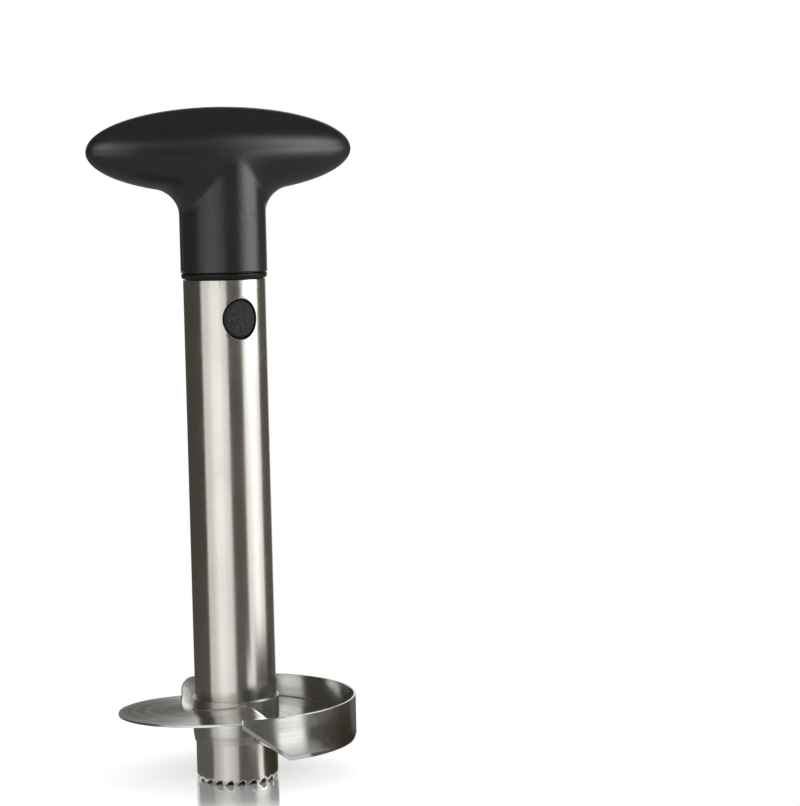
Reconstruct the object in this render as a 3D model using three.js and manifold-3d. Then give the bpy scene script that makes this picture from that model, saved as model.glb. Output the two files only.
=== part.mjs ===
// A T-handled coring slicer: a black grip plugged into a steel tube with a spiral blade at its foot.
// Lengths are in millimetres. +Z runs up the tube, X lies along the grip's bar and -Y is the front.
// The origin is the middle of the tube's toothed mouth, at the level of the tooth tips.
// Angles round the tube are counted from the front towards +X, anticlockwise as seen from above.

import * as THREE from 'three';
import { mergeVertices } from 'three/addons/utils/BufferGeometryUtils.js';
import Module from 'manifold-3d';

const wasm = await Module();
wasm.setup();
const degrees = THREE.MathUtils.degToRad;

// Driving dimensions

// The gap that seated pieces keep, and how far a cutting body overruns what it cuts
const CLEARANCE = 0.3;
const OVERRUN = 3;

// Coring tube
const TUBE_RADIUS = 14.9;
const TUBE_WALL = 0.8;
const TUBE_LENGTH = 183.1;
const TOOTH_COUNT = 22;
const TOOTH_DEPTH = 1.7;
const TOOTH_PHASE = degrees(5);

// Places round one tooth as shares of its pitch, and the rise there as shares of its depth
const TOOTH_PLACE_SHARES = [0, 0.16, 0.42, 0.66, 0.8, 0.92];
const TOOTH_RISE_SHARES = [0, 0, 0.4, 0.82, 1, 0.8];

// Release buttons and the oval holes that they fill
const BUTTON_WIDTH = 12.2;
const BUTTON_HEIGHT = 13.8;
const BUTTON_DROP = 14;
const BUTTON_PROUD = 0.1;
const BUTTON_TRAVEL = 2.6;
const BUTTON_LIP = 1.5;
const BUTTON_LIP_THICKNESS = 1.6;
const BUTTON_BODY_DEPTH = 6.1;
const HOLE_MARGIN = 0.4;
const POCKET_DEPTH = 2;

// Spring behind each button
const SPRING_RADIUS = 2.8;
const SPRING_WIRE = 0.7;
const SPRING_TURNS = 6;
const SPIGOT_RADIUS = 1.9;

// Plug that joins the grip to the tube
const FLANGE_THICKNESS = 2;
const FLANGE_STEP = 0.1;
const FLANGE_ROUND = 1.5;
const FLANGE_EDGE = 0.3;
const PLUG_DEPTH = 34.7;
const PLUG_WALL = 2.2;
const PLUG_FLOOR = 4;
const WEB_THICKNESS = 2.4;
const TENON_LENGTH = 20;
const TENON_WALL = 2.2;
const KEY_WIDTH = 3;
const KEY_DEPTH = 2.6;
const KEY_LENGTH = 12;

// Cross pin through the tenon
const PIN_RADIUS = 2;
const PIN_RISE = 14;
const PIN_SEAT = 1.4;

// End cap under the plug and its two screws
const CAP_THICKNESS = 2.7;
const CAP_CHAMFER = 0.6;
const CAP_SPIGOT = 2;
const POST_RADIUS = 3;
const POST_LENGTH = 8;
const POST_SPREAD = 7.6;
const SCREW_RADIUS = 1.2;
const SCREW_LENGTH = 8;
const SCREW_HEAD_RADIUS = 2.3;
const SCREW_HEAD_HEIGHT = 1.1;

// Grip: an oval bar on a round stem
const STEM_RADIUS = 15.65;
const STEM_HEIGHT = 43.7;
const GRIP_LENGTH = 102;
const GRIP_DEPTH = 31.4;
const GRIP_HEIGHT = 31.2;
const GRIP_FILLET = 9.2;
const SIDE_FILLET = 0.4;
const SHELL_WALL = 2.4;
const RIB_THICKNESS = 1.6;
const RIB_RELIEF = 4;
const BOSS_RADIUS = 3.4;
const PEG_RADIUS = 1.5;
const PEG_LENGTH = 3;

// Places along the bar as shares of its half length
const RIB_PLACE_SHARES = [-0.47, 0.47];
const PEG_PLACE_SHARES = [-0.66, -0.3, 0.3, 0.66];

// Cutter wall: a part cylinder with a raked front edge, sharp below and plain on top
const BLADE_RADIUS = 44;
const WALL_SHEET = 0.8;
const WALL_FOOT = 14.1;
const WALL_HEIGHT = 16;
const WALL_NOSE = 3.2;
const WALL_START = degrees(3);
const WALL_RAKE = degrees(22.5);
const WALL_END = degrees(186);
const WALL_CORNER = 5;
const EDGE_SHEET = 0.2;
const EDGE_BEVEL = 1.6;

// Spiral disc blade between the hub and the wall, climbing anticlockwise
const DISC_SHEET = 0.9;
const DISC_PITCH = 13;
const DISC_LEAD = 2.2;
const DISC_START = degrees(2);
const DISC_TURN = degrees(352);
const DISC_BEVEL = degrees(7);

// Hub collar round the tube
const HUB_WALL = 0.6;
const HUB_FOOT = 0.7;
const HUB_TAPER = 3;
const HUB_LAND = 1.6;

// Fineness of the round forms
const ROUND_STEPS = 60;
const SMALL_STEPS = 16;
const FLANGE_ROUND_STEPS = 3;
const OVAL_STEPS = 14;
const GRIP_STEPS = 48;
const GRIP_ROWS = 18;
const FILLET_ROWS = 7;
const FILLET_START = degrees(50);
const ROW_CROWDING = 1.5;
const CAVITY_STEPS = 28;
const CAVITY_ROWS = 12;
const CAVITY_FILLET_ROWS = 5;
const RAKE_COLUMNS = 9;
const WALL_COLUMNS = 44;
const CORNER_COLUMNS = 5;
const DISC_COLUMNS = 80;
const SPRING_STEPS_PER_TURN = 8;
const WIRE_SIDES = 5;
const SOLVER_STEPS = 30;

// Levels and radii that follow from the driving dimensions
const BORE_RADIUS = TUBE_RADIUS - TUBE_WALL;
const PLUG_RADIUS = BORE_RADIUS - CLEARANCE;
const PLUG_BORE = PLUG_RADIUS - PLUG_WALL;
const FLANGE_FOOT = TUBE_LENGTH + CLEARANCE;
const FLANGE_TOP = FLANGE_FOOT + FLANGE_THICKNESS;
const FLANGE_RADIUS = STEM_RADIUS - FLANGE_STEP;
const PLUG_FOOT = FLANGE_FOOT - PLUG_DEPTH;
const PLUG_CEILING = FLANGE_FOOT - PLUG_FLOOR;
const STEM_FOOT = FLANGE_TOP + CLEARANCE;
const BAR_LEVEL = STEM_FOOT + STEM_HEIGHT;
const STEM_BORE = STEM_RADIUS - SHELL_WALL;
const TENON_RADIUS = STEM_BORE - CLEARANCE;
const TENON_TOP = FLANGE_TOP + TENON_LENGTH;
const PIN_LEVEL = FLANGE_TOP + PIN_RISE;
const BUTTON_LEVEL = TUBE_LENGTH - BUTTON_DROP;
const BUTTON_CROWN = TUBE_RADIUS + BUTTON_PROUD;
const LIP_RADIUS = PLUG_BORE - CLEARANCE;
const BUTTON_INNER = BUTTON_CROWN - BUTTON_BODY_DEPTH;
const POCKET_FLOOR = BUTTON_INNER + POCKET_DEPTH;
const POCKET_RADIUS = SPRING_RADIUS + SPRING_WIRE / 2 + CLEARANCE;
const WEB_FACE = WEB_THICKNESS / 2;
const SPIGOT_END = POCKET_FLOOR - BUTTON_TRAVEL - CLEARANCE;
const POST_FOOT = PLUG_FOOT + CAP_SPIGOT + CLEARANCE;
const WALL_BORE = BLADE_RADIUS - WALL_SHEET;
const HUB_BORE = TUBE_RADIUS + CLEARANCE;
const HUB_RADIUS = HUB_BORE + HUB_WALL;
const DISC_INNER = HUB_RADIUS + CLEARANCE;
const DISC_OUTER = WALL_BORE - CLEARANCE;
const DISC_FOOT = WALL_FOOT + DISC_LEAD;
const DISC_TOP = DISC_FOOT + (DISC_PITCH * DISC_TURN) / degrees(360);

// Shared building blocks

// A point at a radius, an angle from the front and a level
function around(radius, angle, level) {
  return new THREE.Vector3(radius * Math.sin(angle), -radius * Math.cos(angle), level);
}

// Six times the volume that a mesh encloses, positive when its faces point outwards
function enclosed(positions, triangles) {
  const corner = (index) => new THREE.Vector3().fromArray(positions, index * 3);
  let sum = 0;
  for (let i = 0; i < triangles.length; i += 3) {
    const [a, b, c] = [corner(triangles[i]), corner(triangles[i + 1]), corner(triangles[i + 2])];
    sum += a.dot(b.cross(c));
  }
  return sum;
}

// A closed geometry as a solid that can be cut and joined, with its faces turned outwards
function toSolid(geometry) {
  geometry.deleteAttribute('normal');
  geometry.deleteAttribute('uv');
  const merged = mergeVertices(geometry);
  const vertProperties = new Float32Array(merged.attributes.position.array);
  const triangles = [];
  const index = merged.index.array;
  for (let i = 0; i < index.length; i += 3) {
    const [a, b, c] = [index[i], index[i + 1], index[i + 2]];
    if (a !== b && b !== c && c !== a) triangles.push(a, b, c);
  }
  if (enclosed(vertProperties, triangles) < 0) triangles.reverse();
  return new wasm.Manifold(new wasm.Mesh({ numProp: 3, vertProperties, triVerts: new Uint32Array(triangles) }));
}

// A solid back as a named mesh with its own material
function toMesh(name, body, finish) {
  const { vertProperties, triVerts } = body.getMesh();
  const geometry = new THREE.BufferGeometry();
  geometry.setAttribute('position', new THREE.BufferAttribute(new Float32Array(vertProperties), 3));
  geometry.setIndex(new THREE.BufferAttribute(new Uint32Array(triVerts), 1));
  geometry.computeVertexNormals();
  const mesh = new THREE.Mesh(geometry, new THREE.MeshStandardMaterial(finish));
  mesh.name = name;
  return mesh;
}

// A skin over a row of like loops of points: closed into a ring, or with a fan over each open end.
// An end loop of one point is the skin's pole.
function skin(loops, ring = false) {
  const positions = [];
  const triangles = [];
  const starts = [];
  for (const loop of loops) {
    starts.push(positions.length / 3);
    for (const point of loop) positions.push(point.x, point.y, point.z);
  }
  const spans = ring ? loops.length : loops.length - 1;
  for (let row = 0; row < spans; row += 1) {
    const next = (row + 1) % loops.length;
    const count = Math.max(loops[row].length, loops[next].length);
    for (let i = 0; i < count; i += 1) {
      const j = (i + 1) % count;
      const near = (k) => starts[row] + (loops[row].length === 1 ? 0 : k);
      const far = (k) => starts[next] + (loops[next].length === 1 ? 0 : k);
      if (loops[row].length > 1) triangles.push(near(i), near(j), far(j));
      if (loops[next].length > 1) triangles.push(near(i), far(j), far(i));
    }
  }
  const fan = (row, forward) => {
    const loop = loops[row];
    const centre = new THREE.Vector3();
    for (const point of loop) centre.add(point);
    centre.divideScalar(loop.length);
    const hub = positions.length / 3;
    positions.push(centre.x, centre.y, centre.z);
    for (let i = 0; i < loop.length; i += 1) {
      const a = starts[row] + i;
      const b = starts[row] + ((i + 1) % loop.length);
      triangles.push(...(forward ? [hub, a, b] : [hub, b, a]));
    }
  };
  if (!ring && loops[0].length > 1) fan(0, false);
  if (!ring && loops[loops.length - 1].length > 1) fan(loops.length - 1, true);
  const geometry = new THREE.BufferGeometry();
  geometry.setAttribute('position', new THREE.Float32BufferAttribute(positions, 3));
  geometry.setIndex(triangles);
  return toSolid(geometry);
}

// A profile of [radius, level] pairs turned round the tube's axis
function revolve(profile, steps = ROUND_STEPS) {
  const points = profile.map(([radius, level]) => new THREE.Vector2(radius, level));
  const closed = profile[0][0] !== 0;
  if (closed) points.push(points[0].clone());
  const geometry = new THREE.LatheGeometry(points, steps);
  geometry.rotateX(degrees(90));
  return toSolid(geometry);
}

function box(low, high) {
  const size = new THREE.Vector3().subVectors(high, low);
  const geometry = new THREE.BoxGeometry(size.x, size.y, size.z);
  geometry.translate(low.x + size.x / 2, low.y + size.y / 2, low.z + size.z / 2);
  return toSolid(geometry);
}

// An upright cylinder between two levels
function post(radius, x, y, low, high) {
  const geometry = new THREE.CylinderGeometry(radius, radius, high - low, SMALL_STEPS);
  geometry.rotateX(degrees(90));
  geometry.translate(x, y, (low + high) / 2);
  return toSolid(geometry);
}

// A cylinder along Y between two distances behind the tube's axis
function crossRod(radius, x, z, low, high) {
  const geometry = new THREE.CylinderGeometry(radius, radius, high - low, SMALL_STEPS);
  geometry.translate(x, (low + high) / 2, z);
  return toSolid(geometry);
}

// An oval prism along Y, from the tube's axis towards the front
function ovalPrism(halfWidth, halfHeight, level, inner, outer) {
  const shape = new THREE.Shape();
  shape.absellipse(0, 0, halfWidth, halfHeight, 0, degrees(360), false, 0);
  const geometry = new THREE.ExtrudeGeometry(shape, {
    depth: outer - inner,
    bevelEnabled: false,
    curveSegments: OVAL_STEPS,
  });
  geometry.rotateX(degrees(90));
  geometry.translate(0, -inner, level);
  return toSolid(geometry);
}

// The same solid on the far side of the tube, by half a turn about its axis
function behind(body) {
  return body.rotate([0, 0, 180]);
}

// Coring tube

// Sections of the tube's wall, one at each place of the tooth pattern, with its foot raised there
function toothLoops() {
  const loops = [];
  const pitch = degrees(360) / TOOTH_COUNT;
  for (let tooth = 0; tooth < TOOTH_COUNT; tooth += 1) {
    TOOTH_PLACE_SHARES.forEach((share, i) => {
      const angle = TOOTH_PHASE + (tooth + share) * pitch;
      const rise = TOOTH_DEPTH * TOOTH_RISE_SHARES[i];
      loops.push([
        around(TUBE_RADIUS, angle, rise),
        around(TUBE_RADIUS, angle, TUBE_LENGTH),
        around(BORE_RADIUS, angle, TUBE_LENGTH),
        around(BORE_RADIUS, angle, rise),
      ]);
    });
  }
  return loops;
}

function corerTube() {
  const reach = TUBE_RADIUS + OVERRUN;
  const halfWidth = BUTTON_WIDTH / 2 + HOLE_MARGIN;
  const halfHeight = BUTTON_HEIGHT / 2 + HOLE_MARGIN;
  const holes = ovalPrism(halfWidth, halfHeight, BUTTON_LEVEL, -reach, reach);
  return skin(toothLoops(), true).subtract(holes);
}

// Release buttons

// An oval post with a face that follows the tube, and a curved lip that stops it inside the plug
function releaseButton() {
  const halfWidth = BUTTON_WIDTH / 2;
  const halfHeight = BUTTON_HEIGHT / 2;
  const reach = BUTTON_CROWN + OVERRUN;
  const low = BUTTON_LEVEL - halfHeight - BUTTON_LIP;
  const high = BUTTON_LEVEL + halfHeight + BUTTON_LIP;
  const crown = revolve([[0, low], [BUTTON_CROWN, low], [BUTTON_CROWN, high], [0, high]]);
  const body = ovalPrism(halfWidth, halfHeight, BUTTON_LEVEL, BUTTON_INNER, reach).intersect(crown);
  const lipInner = LIP_RADIUS - BUTTON_LIP_THICKNESS;
  const ring = revolve([[lipInner, low], [LIP_RADIUS, low], [LIP_RADIUS, high], [lipInner, high]]);
  const across = halfWidth + BUTTON_LIP;
  const plate = ovalPrism(across, halfHeight + BUTTON_LIP, BUTTON_LEVEL, 0, reach);
  const pocket = crossRod(POCKET_RADIUS, 0, BUTTON_LEVEL, -POCKET_FLOOR, -BUTTON_INNER + OVERRUN);
  return body.add(ring.intersect(plate)).subtract(pocket);
}

// Springs

class Helix extends THREE.Curve {
  constructor(radius, turns, start, end) {
    super();
    this.radius = radius;
    this.turns = turns;
    this.start = start;
    this.end = end;
  }

  getPoint(t) {
    const angle = t * this.turns * degrees(360);
    const x = this.radius * Math.cos(angle);
    const y = -THREE.MathUtils.lerp(this.start, this.end, t);
    return new THREE.Vector3(x, y, BUTTON_LEVEL + this.radius * Math.sin(angle));
  }
}

// An open coil from the plug's web to the floor of the button's pocket, of a wire with flat sides
function buttonSpring() {
  const wire = SPRING_WIRE / 2;
  const start = WEB_FACE + CLEARANCE + wire;
  const end = POCKET_FLOOR - CLEARANCE - wire;
  const section = new THREE.Shape();
  for (let i = 0; i < WIRE_SIDES; i += 1) {
    const angle = (i * degrees(360)) / WIRE_SIDES;
    const [x, y] = [wire * Math.cos(angle), wire * Math.sin(angle)];
    if (i === 0) section.moveTo(x, y);
    else section.lineTo(x, y);
  }
  section.closePath();
  const geometry = new THREE.ExtrudeGeometry(section, {
    steps: SPRING_TURNS * SPRING_STEPS_PER_TURN,
    extrudePath: new Helix(SPRING_RADIUS, SPRING_TURNS, start, end),
  });
  return toSolid(geometry);
}

// Plug core

// A hollow body in the tube, a flange between tube and stem, and a hollow tenon up into the grip.
// The flange is as wide as the stem on top and rounds down to the tube's own radius.
function plugCore() {
  const tenonBore = TENON_RADIUS - TENON_WALL;
  const tuck = FLANGE_RADIUS - TUBE_RADIUS;
  const flangeRound = [];
  for (let i = 0; i <= FLANGE_ROUND_STEPS; i += 1) {
    const swing = (degrees(90) * i) / FLANGE_ROUND_STEPS;
    flangeRound.push([
      FLANGE_RADIUS - tuck * (1 - Math.sin(swing)),
      FLANGE_FOOT + FLANGE_ROUND * (1 - Math.cos(swing)),
    ]);
  }
  let core = revolve([
    [0, PLUG_CEILING],
    [PLUG_BORE, PLUG_CEILING],
    [PLUG_BORE, PLUG_FOOT],
    [PLUG_RADIUS, PLUG_FOOT],
    [PLUG_RADIUS, FLANGE_FOOT],
    ...flangeRound,
    [FLANGE_RADIUS, FLANGE_TOP - FLANGE_EDGE],
    [FLANGE_RADIUS - FLANGE_EDGE, FLANGE_TOP],
    [TENON_RADIUS, FLANGE_TOP],
    [TENON_RADIUS, TENON_TOP],
    [tenonBore, TENON_TOP],
    [tenonBore, FLANGE_FOOT],
    [0, FLANGE_FOOT],
  ]);

  // Middle web with a spigot for each spring, and posts for the cap's screws
  const middle = (PLUG_BORE + PLUG_RADIUS) / 2;
  const ceiling = (PLUG_CEILING + FLANGE_FOOT) / 2;
  core = core.add(
    box(new THREE.Vector3(-middle, -WEB_FACE, POST_FOOT), new THREE.Vector3(middle, WEB_FACE, ceiling)),
  );
  core = core.add(crossRod(SPIGOT_RADIUS, 0, BUTTON_LEVEL, -SPIGOT_END, SPIGOT_END));
  for (const side of [-1, 1]) {
    const x = side * POST_SPREAD;
    const pilot = SCREW_RADIUS + CLEARANCE;
    core = core.add(post(POST_RADIUS, x, 0, POST_FOOT, POST_FOOT + POST_LENGTH));
    core = core.subtract(post(pilot, x, 0, POST_FOOT - OVERRUN, POST_FOOT + POST_LENGTH - PLUG_WALL / 2));
  }

  // Windows for the buttons, slots for the shells' keys, and the hole for the cross pin
  const halfWidth = BUTTON_WIDTH / 2 + CLEARANCE;
  const halfHeight = BUTTON_HEIGHT / 2 + CLEARANCE;
  const window = ovalPrism(halfWidth, halfHeight, BUTTON_LEVEL, LIP_RADIUS - PLUG_WALL, PLUG_RADIUS + OVERRUN);
  core = core.subtract(window).subtract(behind(window));
  const slot = KEY_WIDTH / 2 + CLEARANCE;
  const slotFloor = STEM_BORE - KEY_DEPTH - CLEARANCE;
  const slotTop = STEM_FOOT + KEY_LENGTH + CLEARANCE;
  const keyway = box(
    new THREE.Vector3(-slot, -STEM_BORE, FLANGE_TOP),
    new THREE.Vector3(slot, -slotFloor, slotTop),
  );
  core = core.subtract(keyway).subtract(behind(keyway));
  return core.subtract(pinRod(PIN_RADIUS + CLEARANCE, STEM_BORE + OVERRUN));
}

// A rod along X at the level of the cross pin
function pinRod(radius, halfLength) {
  const geometry = new THREE.CylinderGeometry(radius, radius, halfLength * 2, SMALL_STEPS);
  geometry.rotateZ(degrees(90));
  geometry.translate(0, 0, PIN_LEVEL);
  return toSolid(geometry);
}

// End cap and its screws

function plugEndCap() {
  const foot = PLUG_FOOT - CLEARANCE - CAP_THICKNESS;
  const shoulder = PLUG_FOOT - CLEARANCE;
  const spigot = PLUG_BORE - CLEARANCE;
  const spigotTop = PLUG_FOOT + CAP_SPIGOT;
  let cap = revolve([
    [0, foot],
    [PLUG_RADIUS - CAP_CHAMFER, foot],
    [PLUG_RADIUS, foot + CAP_CHAMFER],
    [PLUG_RADIUS, shoulder],
    [spigot, shoulder],
    [spigot, spigotTop],
    [0, spigotTop],
  ]);
  const headRoom = foot + SCREW_HEAD_HEIGHT + CLEARANCE;
  for (const side of [-1, 1]) {
    const x = side * POST_SPREAD;
    cap = cap.subtract(post(SCREW_HEAD_RADIUS + CLEARANCE, x, 0, foot - OVERRUN, headRoom));
    cap = cap.subtract(post(SCREW_RADIUS + CLEARANCE, x, 0, foot - OVERRUN, spigotTop + OVERRUN));
  }
  return cap;
}

function capScrew(x) {
  const foot = PLUG_FOOT - CLEARANCE - CAP_THICKNESS;
  const neck = foot + SCREW_HEAD_HEIGHT;
  const head = post(SCREW_HEAD_RADIUS, x, 0, foot, neck);
  return head.add(post(SCREW_RADIUS, x, 0, neck - SCREW_HEAD_HEIGHT / 2, neck + SCREW_LENGTH));
}

// Grip

// How far a point is from the oval bar, negative inside it
function fromBar(x, y, z) {
  const a = GRIP_LENGTH / 2;
  const b = GRIP_DEPTH / 2;
  const c = GRIP_HEIGHT / 2;
  const rise = z - BAR_LEVEL;
  const scaled = Math.hypot(x / a, y / b, rise / c);
  const slope = Math.hypot(x / (a * a), y / (b * b), rise / (c * c));
  return slope > 0 ? (scaled * (scaled - 1)) / slope : -c;
}

// How far a point is from the grip's surface: bar and stem joined by a round fillet.
// The fillet is full under the bar's ends and narrows to the sides, where bar and stem run together.
function fromGrip(x, y, z) {
  const bar = fromBar(x, y, z);
  const radial = Math.hypot(x, y);
  const above = z - BAR_LEVEL;
  const stem = above > 0 ? Math.hypot(Math.max(radial - STEM_RADIUS, 0), above) : radial - STEM_RADIUS;
  const endwise = radial > 0 ? (x / radial) ** 2 : 0;
  const fillet = THREE.MathUtils.lerp(SIDE_FILLET, GRIP_FILLET, endwise);
  return Math.max(fillet, Math.min(bar, stem)) - Math.hypot(Math.max(fillet - bar, 0), Math.max(fillet - stem, 0));
}

// The distance from the axis, in one direction, at which the surface inset by a wall is met
function reachOf(dx, dy, level, inset) {
  let inside = 0;
  let outside = GRIP_LENGTH;
  for (let i = 0; i < SOLVER_STEPS; i += 1) {
    const middle = (inside + outside) / 2;
    if (fromGrip(dx * middle, dy * middle, level) + inset < 0) inside = middle;
    else outside = middle;
  }
  return inside;
}

// One level section, with its points spread as on an oval of the section's own length and depth
function gripLoop(level, inset, count) {
  const length = reachOf(1, 0, level, inset);
  const depth = reachOf(0, 1, level, inset);
  const loop = [];
  for (let i = 0; i < count; i += 1) {
    const angle = (i * degrees(360)) / count;
    const direction = new THREE.Vector2(length * Math.cos(angle), depth * Math.sin(angle)).normalize();
    const reach = reachOf(direction.x, direction.y, level, inset);
    loop.push(new THREE.Vector3(direction.x * reach, direction.y * reach, level));
  }
  return loop;
}

// Levels from the crown to the stem's foot: even angles round the bar to where the fillet starts,
// then close together where the fillet leaves the bar and wider down to the stem
function gripLevels(inset, foot, roundRows, filletRows) {
  const half = GRIP_HEIGHT / 2 - inset;
  const levels = [];
  for (let i = 1; i <= roundRows; i += 1) {
    const angle = THREE.MathUtils.lerp(degrees(90), -FILLET_START, i / roundRows);
    levels.push(BAR_LEVEL + half * Math.sin(angle));
  }
  const top = levels[levels.length - 1];
  const bottom = BAR_LEVEL - GRIP_HEIGHT / 2 - GRIP_FILLET;
  for (let i = 1; i <= filletRows; i += 1) {
    levels.push(THREE.MathUtils.lerp(top, bottom, (i / filletRows) ** ROW_CROWDING));
  }
  levels.push(foot);
  return levels;
}

function gripBody(inset, foot, count, roundRows, filletRows) {
  const crown = new THREE.Vector3(0, 0, BAR_LEVEL + GRIP_HEIGHT / 2 - inset);
  const loops = gripLevels(inset, foot, roundRows, filletRows).map((level) => gripLoop(level, inset, count));
  return skin([[crown], ...loops]);
}

// Both halves' shared skin, with the ribs, peg bosses and keys that stand on its inside
function gripHousing(outer) {
  const cavity = gripBody(SHELL_WALL, STEM_FOOT - OVERRUN, CAVITY_STEPS, CAVITY_ROWS, CAVITY_FILLET_ROWS);
  const half = GRIP_LENGTH / 2;
  const top = BAR_LEVEL + GRIP_HEIGHT;
  let inside = crossRod(BOSS_RADIUS, PEG_PLACE_SHARES[0] * half, BAR_LEVEL, -GRIP_DEPTH, GRIP_DEPTH);
  for (const share of PEG_PLACE_SHARES.slice(1)) {
    inside = inside.add(crossRod(BOSS_RADIUS, share * half, BAR_LEVEL, -GRIP_DEPTH, GRIP_DEPTH));
  }
  for (const share of RIB_PLACE_SHARES) {
    const x = share * half;
    for (const side of [-1, 1]) {
      const near = side * RIB_RELIEF;
      const far = side * GRIP_DEPTH;
      inside = inside.add(box(
        new THREE.Vector3(x - RIB_THICKNESS / 2, Math.min(near, far), STEM_FOOT),
        new THREE.Vector3(x + RIB_THICKNESS / 2, Math.max(near, far), top),
      ));
    }
  }
  const key = box(
    new THREE.Vector3(-KEY_WIDTH / 2, -STEM_RADIUS, STEM_FOOT),
    new THREE.Vector3(KEY_WIDTH / 2, KEY_DEPTH - STEM_BORE, STEM_FOOT + KEY_LENGTH),
  );
  inside = inside.add(key).add(behind(key));
  return outer.subtract(cavity).add(inside.intersect(outer));
}

// The front and rear shells, parted on the plane through bar and tube
function gripShells() {
  const outer = gripBody(0, STEM_FOOT, GRIP_STEPS, GRIP_ROWS, FILLET_ROWS);
  const pin = pinRod(PIN_RADIUS + CLEARANCE, STEM_BORE + PIN_SEAT + CLEARANCE);
  const housing = gripHousing(outer).subtract(pin);
  const low = new THREE.Vector3(-GRIP_LENGTH, CLEARANCE / 2, 0);
  const high = new THREE.Vector3(GRIP_LENGTH, GRIP_DEPTH, BAR_LEVEL + GRIP_HEIGHT);
  const rearSide = box(low, high);
  let front = housing.intersect(behind(rearSide));
  let rear = housing.intersect(rearSide);
  for (const share of PEG_PLACE_SHARES) {
    const x = (share * GRIP_LENGTH) / 2;
    front = front.add(crossRod(PEG_RADIUS, x, BAR_LEVEL, -PEG_LENGTH, PEG_LENGTH));
    rear = rear.subtract(
      crossRod(PEG_RADIUS + CLEARANCE, x, BAR_LEVEL, -OVERRUN, PEG_LENGTH + CLEARANCE),
    );
  }
  return { front, rear };
}

// Blade

// The part cylinder, section by section: a raked front, a ground lower edge and a rounded far end
function cutterWall() {
  const nose = WALL_START - WALL_RAKE;
  const angles = [];
  for (let i = 0; i <= RAKE_COLUMNS; i += 1) {
    angles.push(THREE.MathUtils.lerp(nose, WALL_START, i / RAKE_COLUMNS));
  }
  const cornerTurn = WALL_CORNER / BLADE_RADIUS;
  for (let i = 1; i <= WALL_COLUMNS; i += 1) {
    angles.push(THREE.MathUtils.lerp(WALL_START, WALL_END - cornerTurn, i / WALL_COLUMNS));
  }
  for (let i = 1; i <= CORNER_COLUMNS; i += 1) {
    const swing = (degrees(90) * i) / CORNER_COLUMNS;
    angles.push(WALL_END - cornerTurn * (1 - Math.sin(swing)));
  }
  return skin(angles.map((angle, i) => {
    const raked = THREE.MathUtils.clamp((WALL_START - angle) / WALL_RAKE, 0, 1);
    const run = Math.max((angle - WALL_END) * BLADE_RADIUS + WALL_CORNER, 0);
    const inset = WALL_CORNER - Math.sqrt(Math.max(WALL_CORNER ** 2 - run ** 2, 0));
    const low = WALL_FOOT + raked * (WALL_HEIGHT - WALL_NOSE) + inset;
    const high = WALL_FOOT + WALL_HEIGHT - inset;
    const edge = WALL_BORE + EDGE_SHEET;
    const face = i === 0 ? edge : BLADE_RADIUS;
    return [
      around(WALL_BORE, angle, low),
      around(edge, angle, low),
      around(face, angle, low + EDGE_BEVEL),
      around(face, angle, high),
      around(WALL_BORE, angle, high),
    ];
  }));
}

// One turn of flat ring, raised as a helix, with its leading edge ground on top
function helicalBlade() {
  const loops = [];
  for (let i = 0; i <= DISC_COLUMNS; i += 1) {
    const turned = (DISC_TURN * i) / DISC_COLUMNS;
    const angle = DISC_START + turned;
    const foot = DISC_FOOT - DISC_SHEET / 2 + (DISC_PITCH * turned) / degrees(360);
    const ground = Math.min(turned / DISC_BEVEL, 1);
    const top = foot + THREE.MathUtils.lerp(EDGE_SHEET, DISC_SHEET, ground);
    loops.push([
      around(DISC_INNER, angle, foot),
      around(DISC_OUTER, angle, foot),
      around(DISC_OUTER, angle, top),
      around(DISC_INNER, angle, top),
    ]);
  }
  return skin(loops);
}

// A thin sleeve that carries the spiral blade, drawn in to the tube at its foot
function bladeHub() {
  const foot = WALL_FOOT + HUB_FOOT;
  const top = DISC_TOP + HUB_LAND;
  return revolve([
    [HUB_BORE, foot],
    [HUB_BORE + EDGE_SHEET, foot],
    [HUB_RADIUS, foot + HUB_TAPER],
    [HUB_RADIUS, top - EDGE_SHEET],
    [HUB_RADIUS - EDGE_SHEET, top],
    [HUB_BORE, top],
  ]);
}

// Assembly

const satinSteel = { color: '#c9c7c0', roughness: 0.32, metalness: 1 };
const bladeSteel = { color: '#d2d1cc', roughness: 0.22, metalness: 1 };
const plainSteel = { color: '#b4b3ae', roughness: 0.4, metalness: 1 };
const springSteel = { color: '#8f8f8c', roughness: 0.35, metalness: 1 };
const gripBlack = { color: '#2c2b2a', roughness: 0.48, metalness: 0 };
const plugBlack = { color: '#1f1f1e', roughness: 0.42, metalness: 0 };
const buttonBlack = { color: '#333331', roughness: 0.6, metalness: 0 };

const shells = gripShells();
const button = releaseButton();
const spring = buttonSpring();

const grip = new THREE.Group();
grip.add(toMesh('grip_front_shell', shells.front, gripBlack));
grip.add(toMesh('grip_rear_shell', shells.rear, gripBlack));
grip.add(toMesh('grip_pin', pinRod(PIN_RADIUS, STEM_BORE + PIN_SEAT), plainSteel));

const plug = new THREE.Group();
plug.add(toMesh('plug_core', plugCore(), plugBlack));
plug.add(toMesh('plug_end_cap', plugEndCap(), plugBlack));
plug.add(toMesh('cap_screw_left', capScrew(-POST_SPREAD), plainSteel));
plug.add(toMesh('cap_screw_right', capScrew(POST_SPREAD), plainSteel));
plug.add(toMesh('release_button_front', button, buttonBlack));
plug.add(toMesh('release_button_rear', behind(button), buttonBlack));
plug.add(toMesh('button_spring_front', spring, springSteel));
plug.add(toMesh('button_spring_rear', behind(spring), springSteel));

const blade = new THREE.Group();
blade.add(toMesh('corer_tube', corerTube(), satinSteel));
blade.add(toMesh('blade_hub', bladeHub(), satinSteel));
blade.add(toMesh('helical_blade', helicalBlade(), bladeSteel));
blade.add(toMesh('cutter_wall', cutterWall(), bladeSteel));

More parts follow.
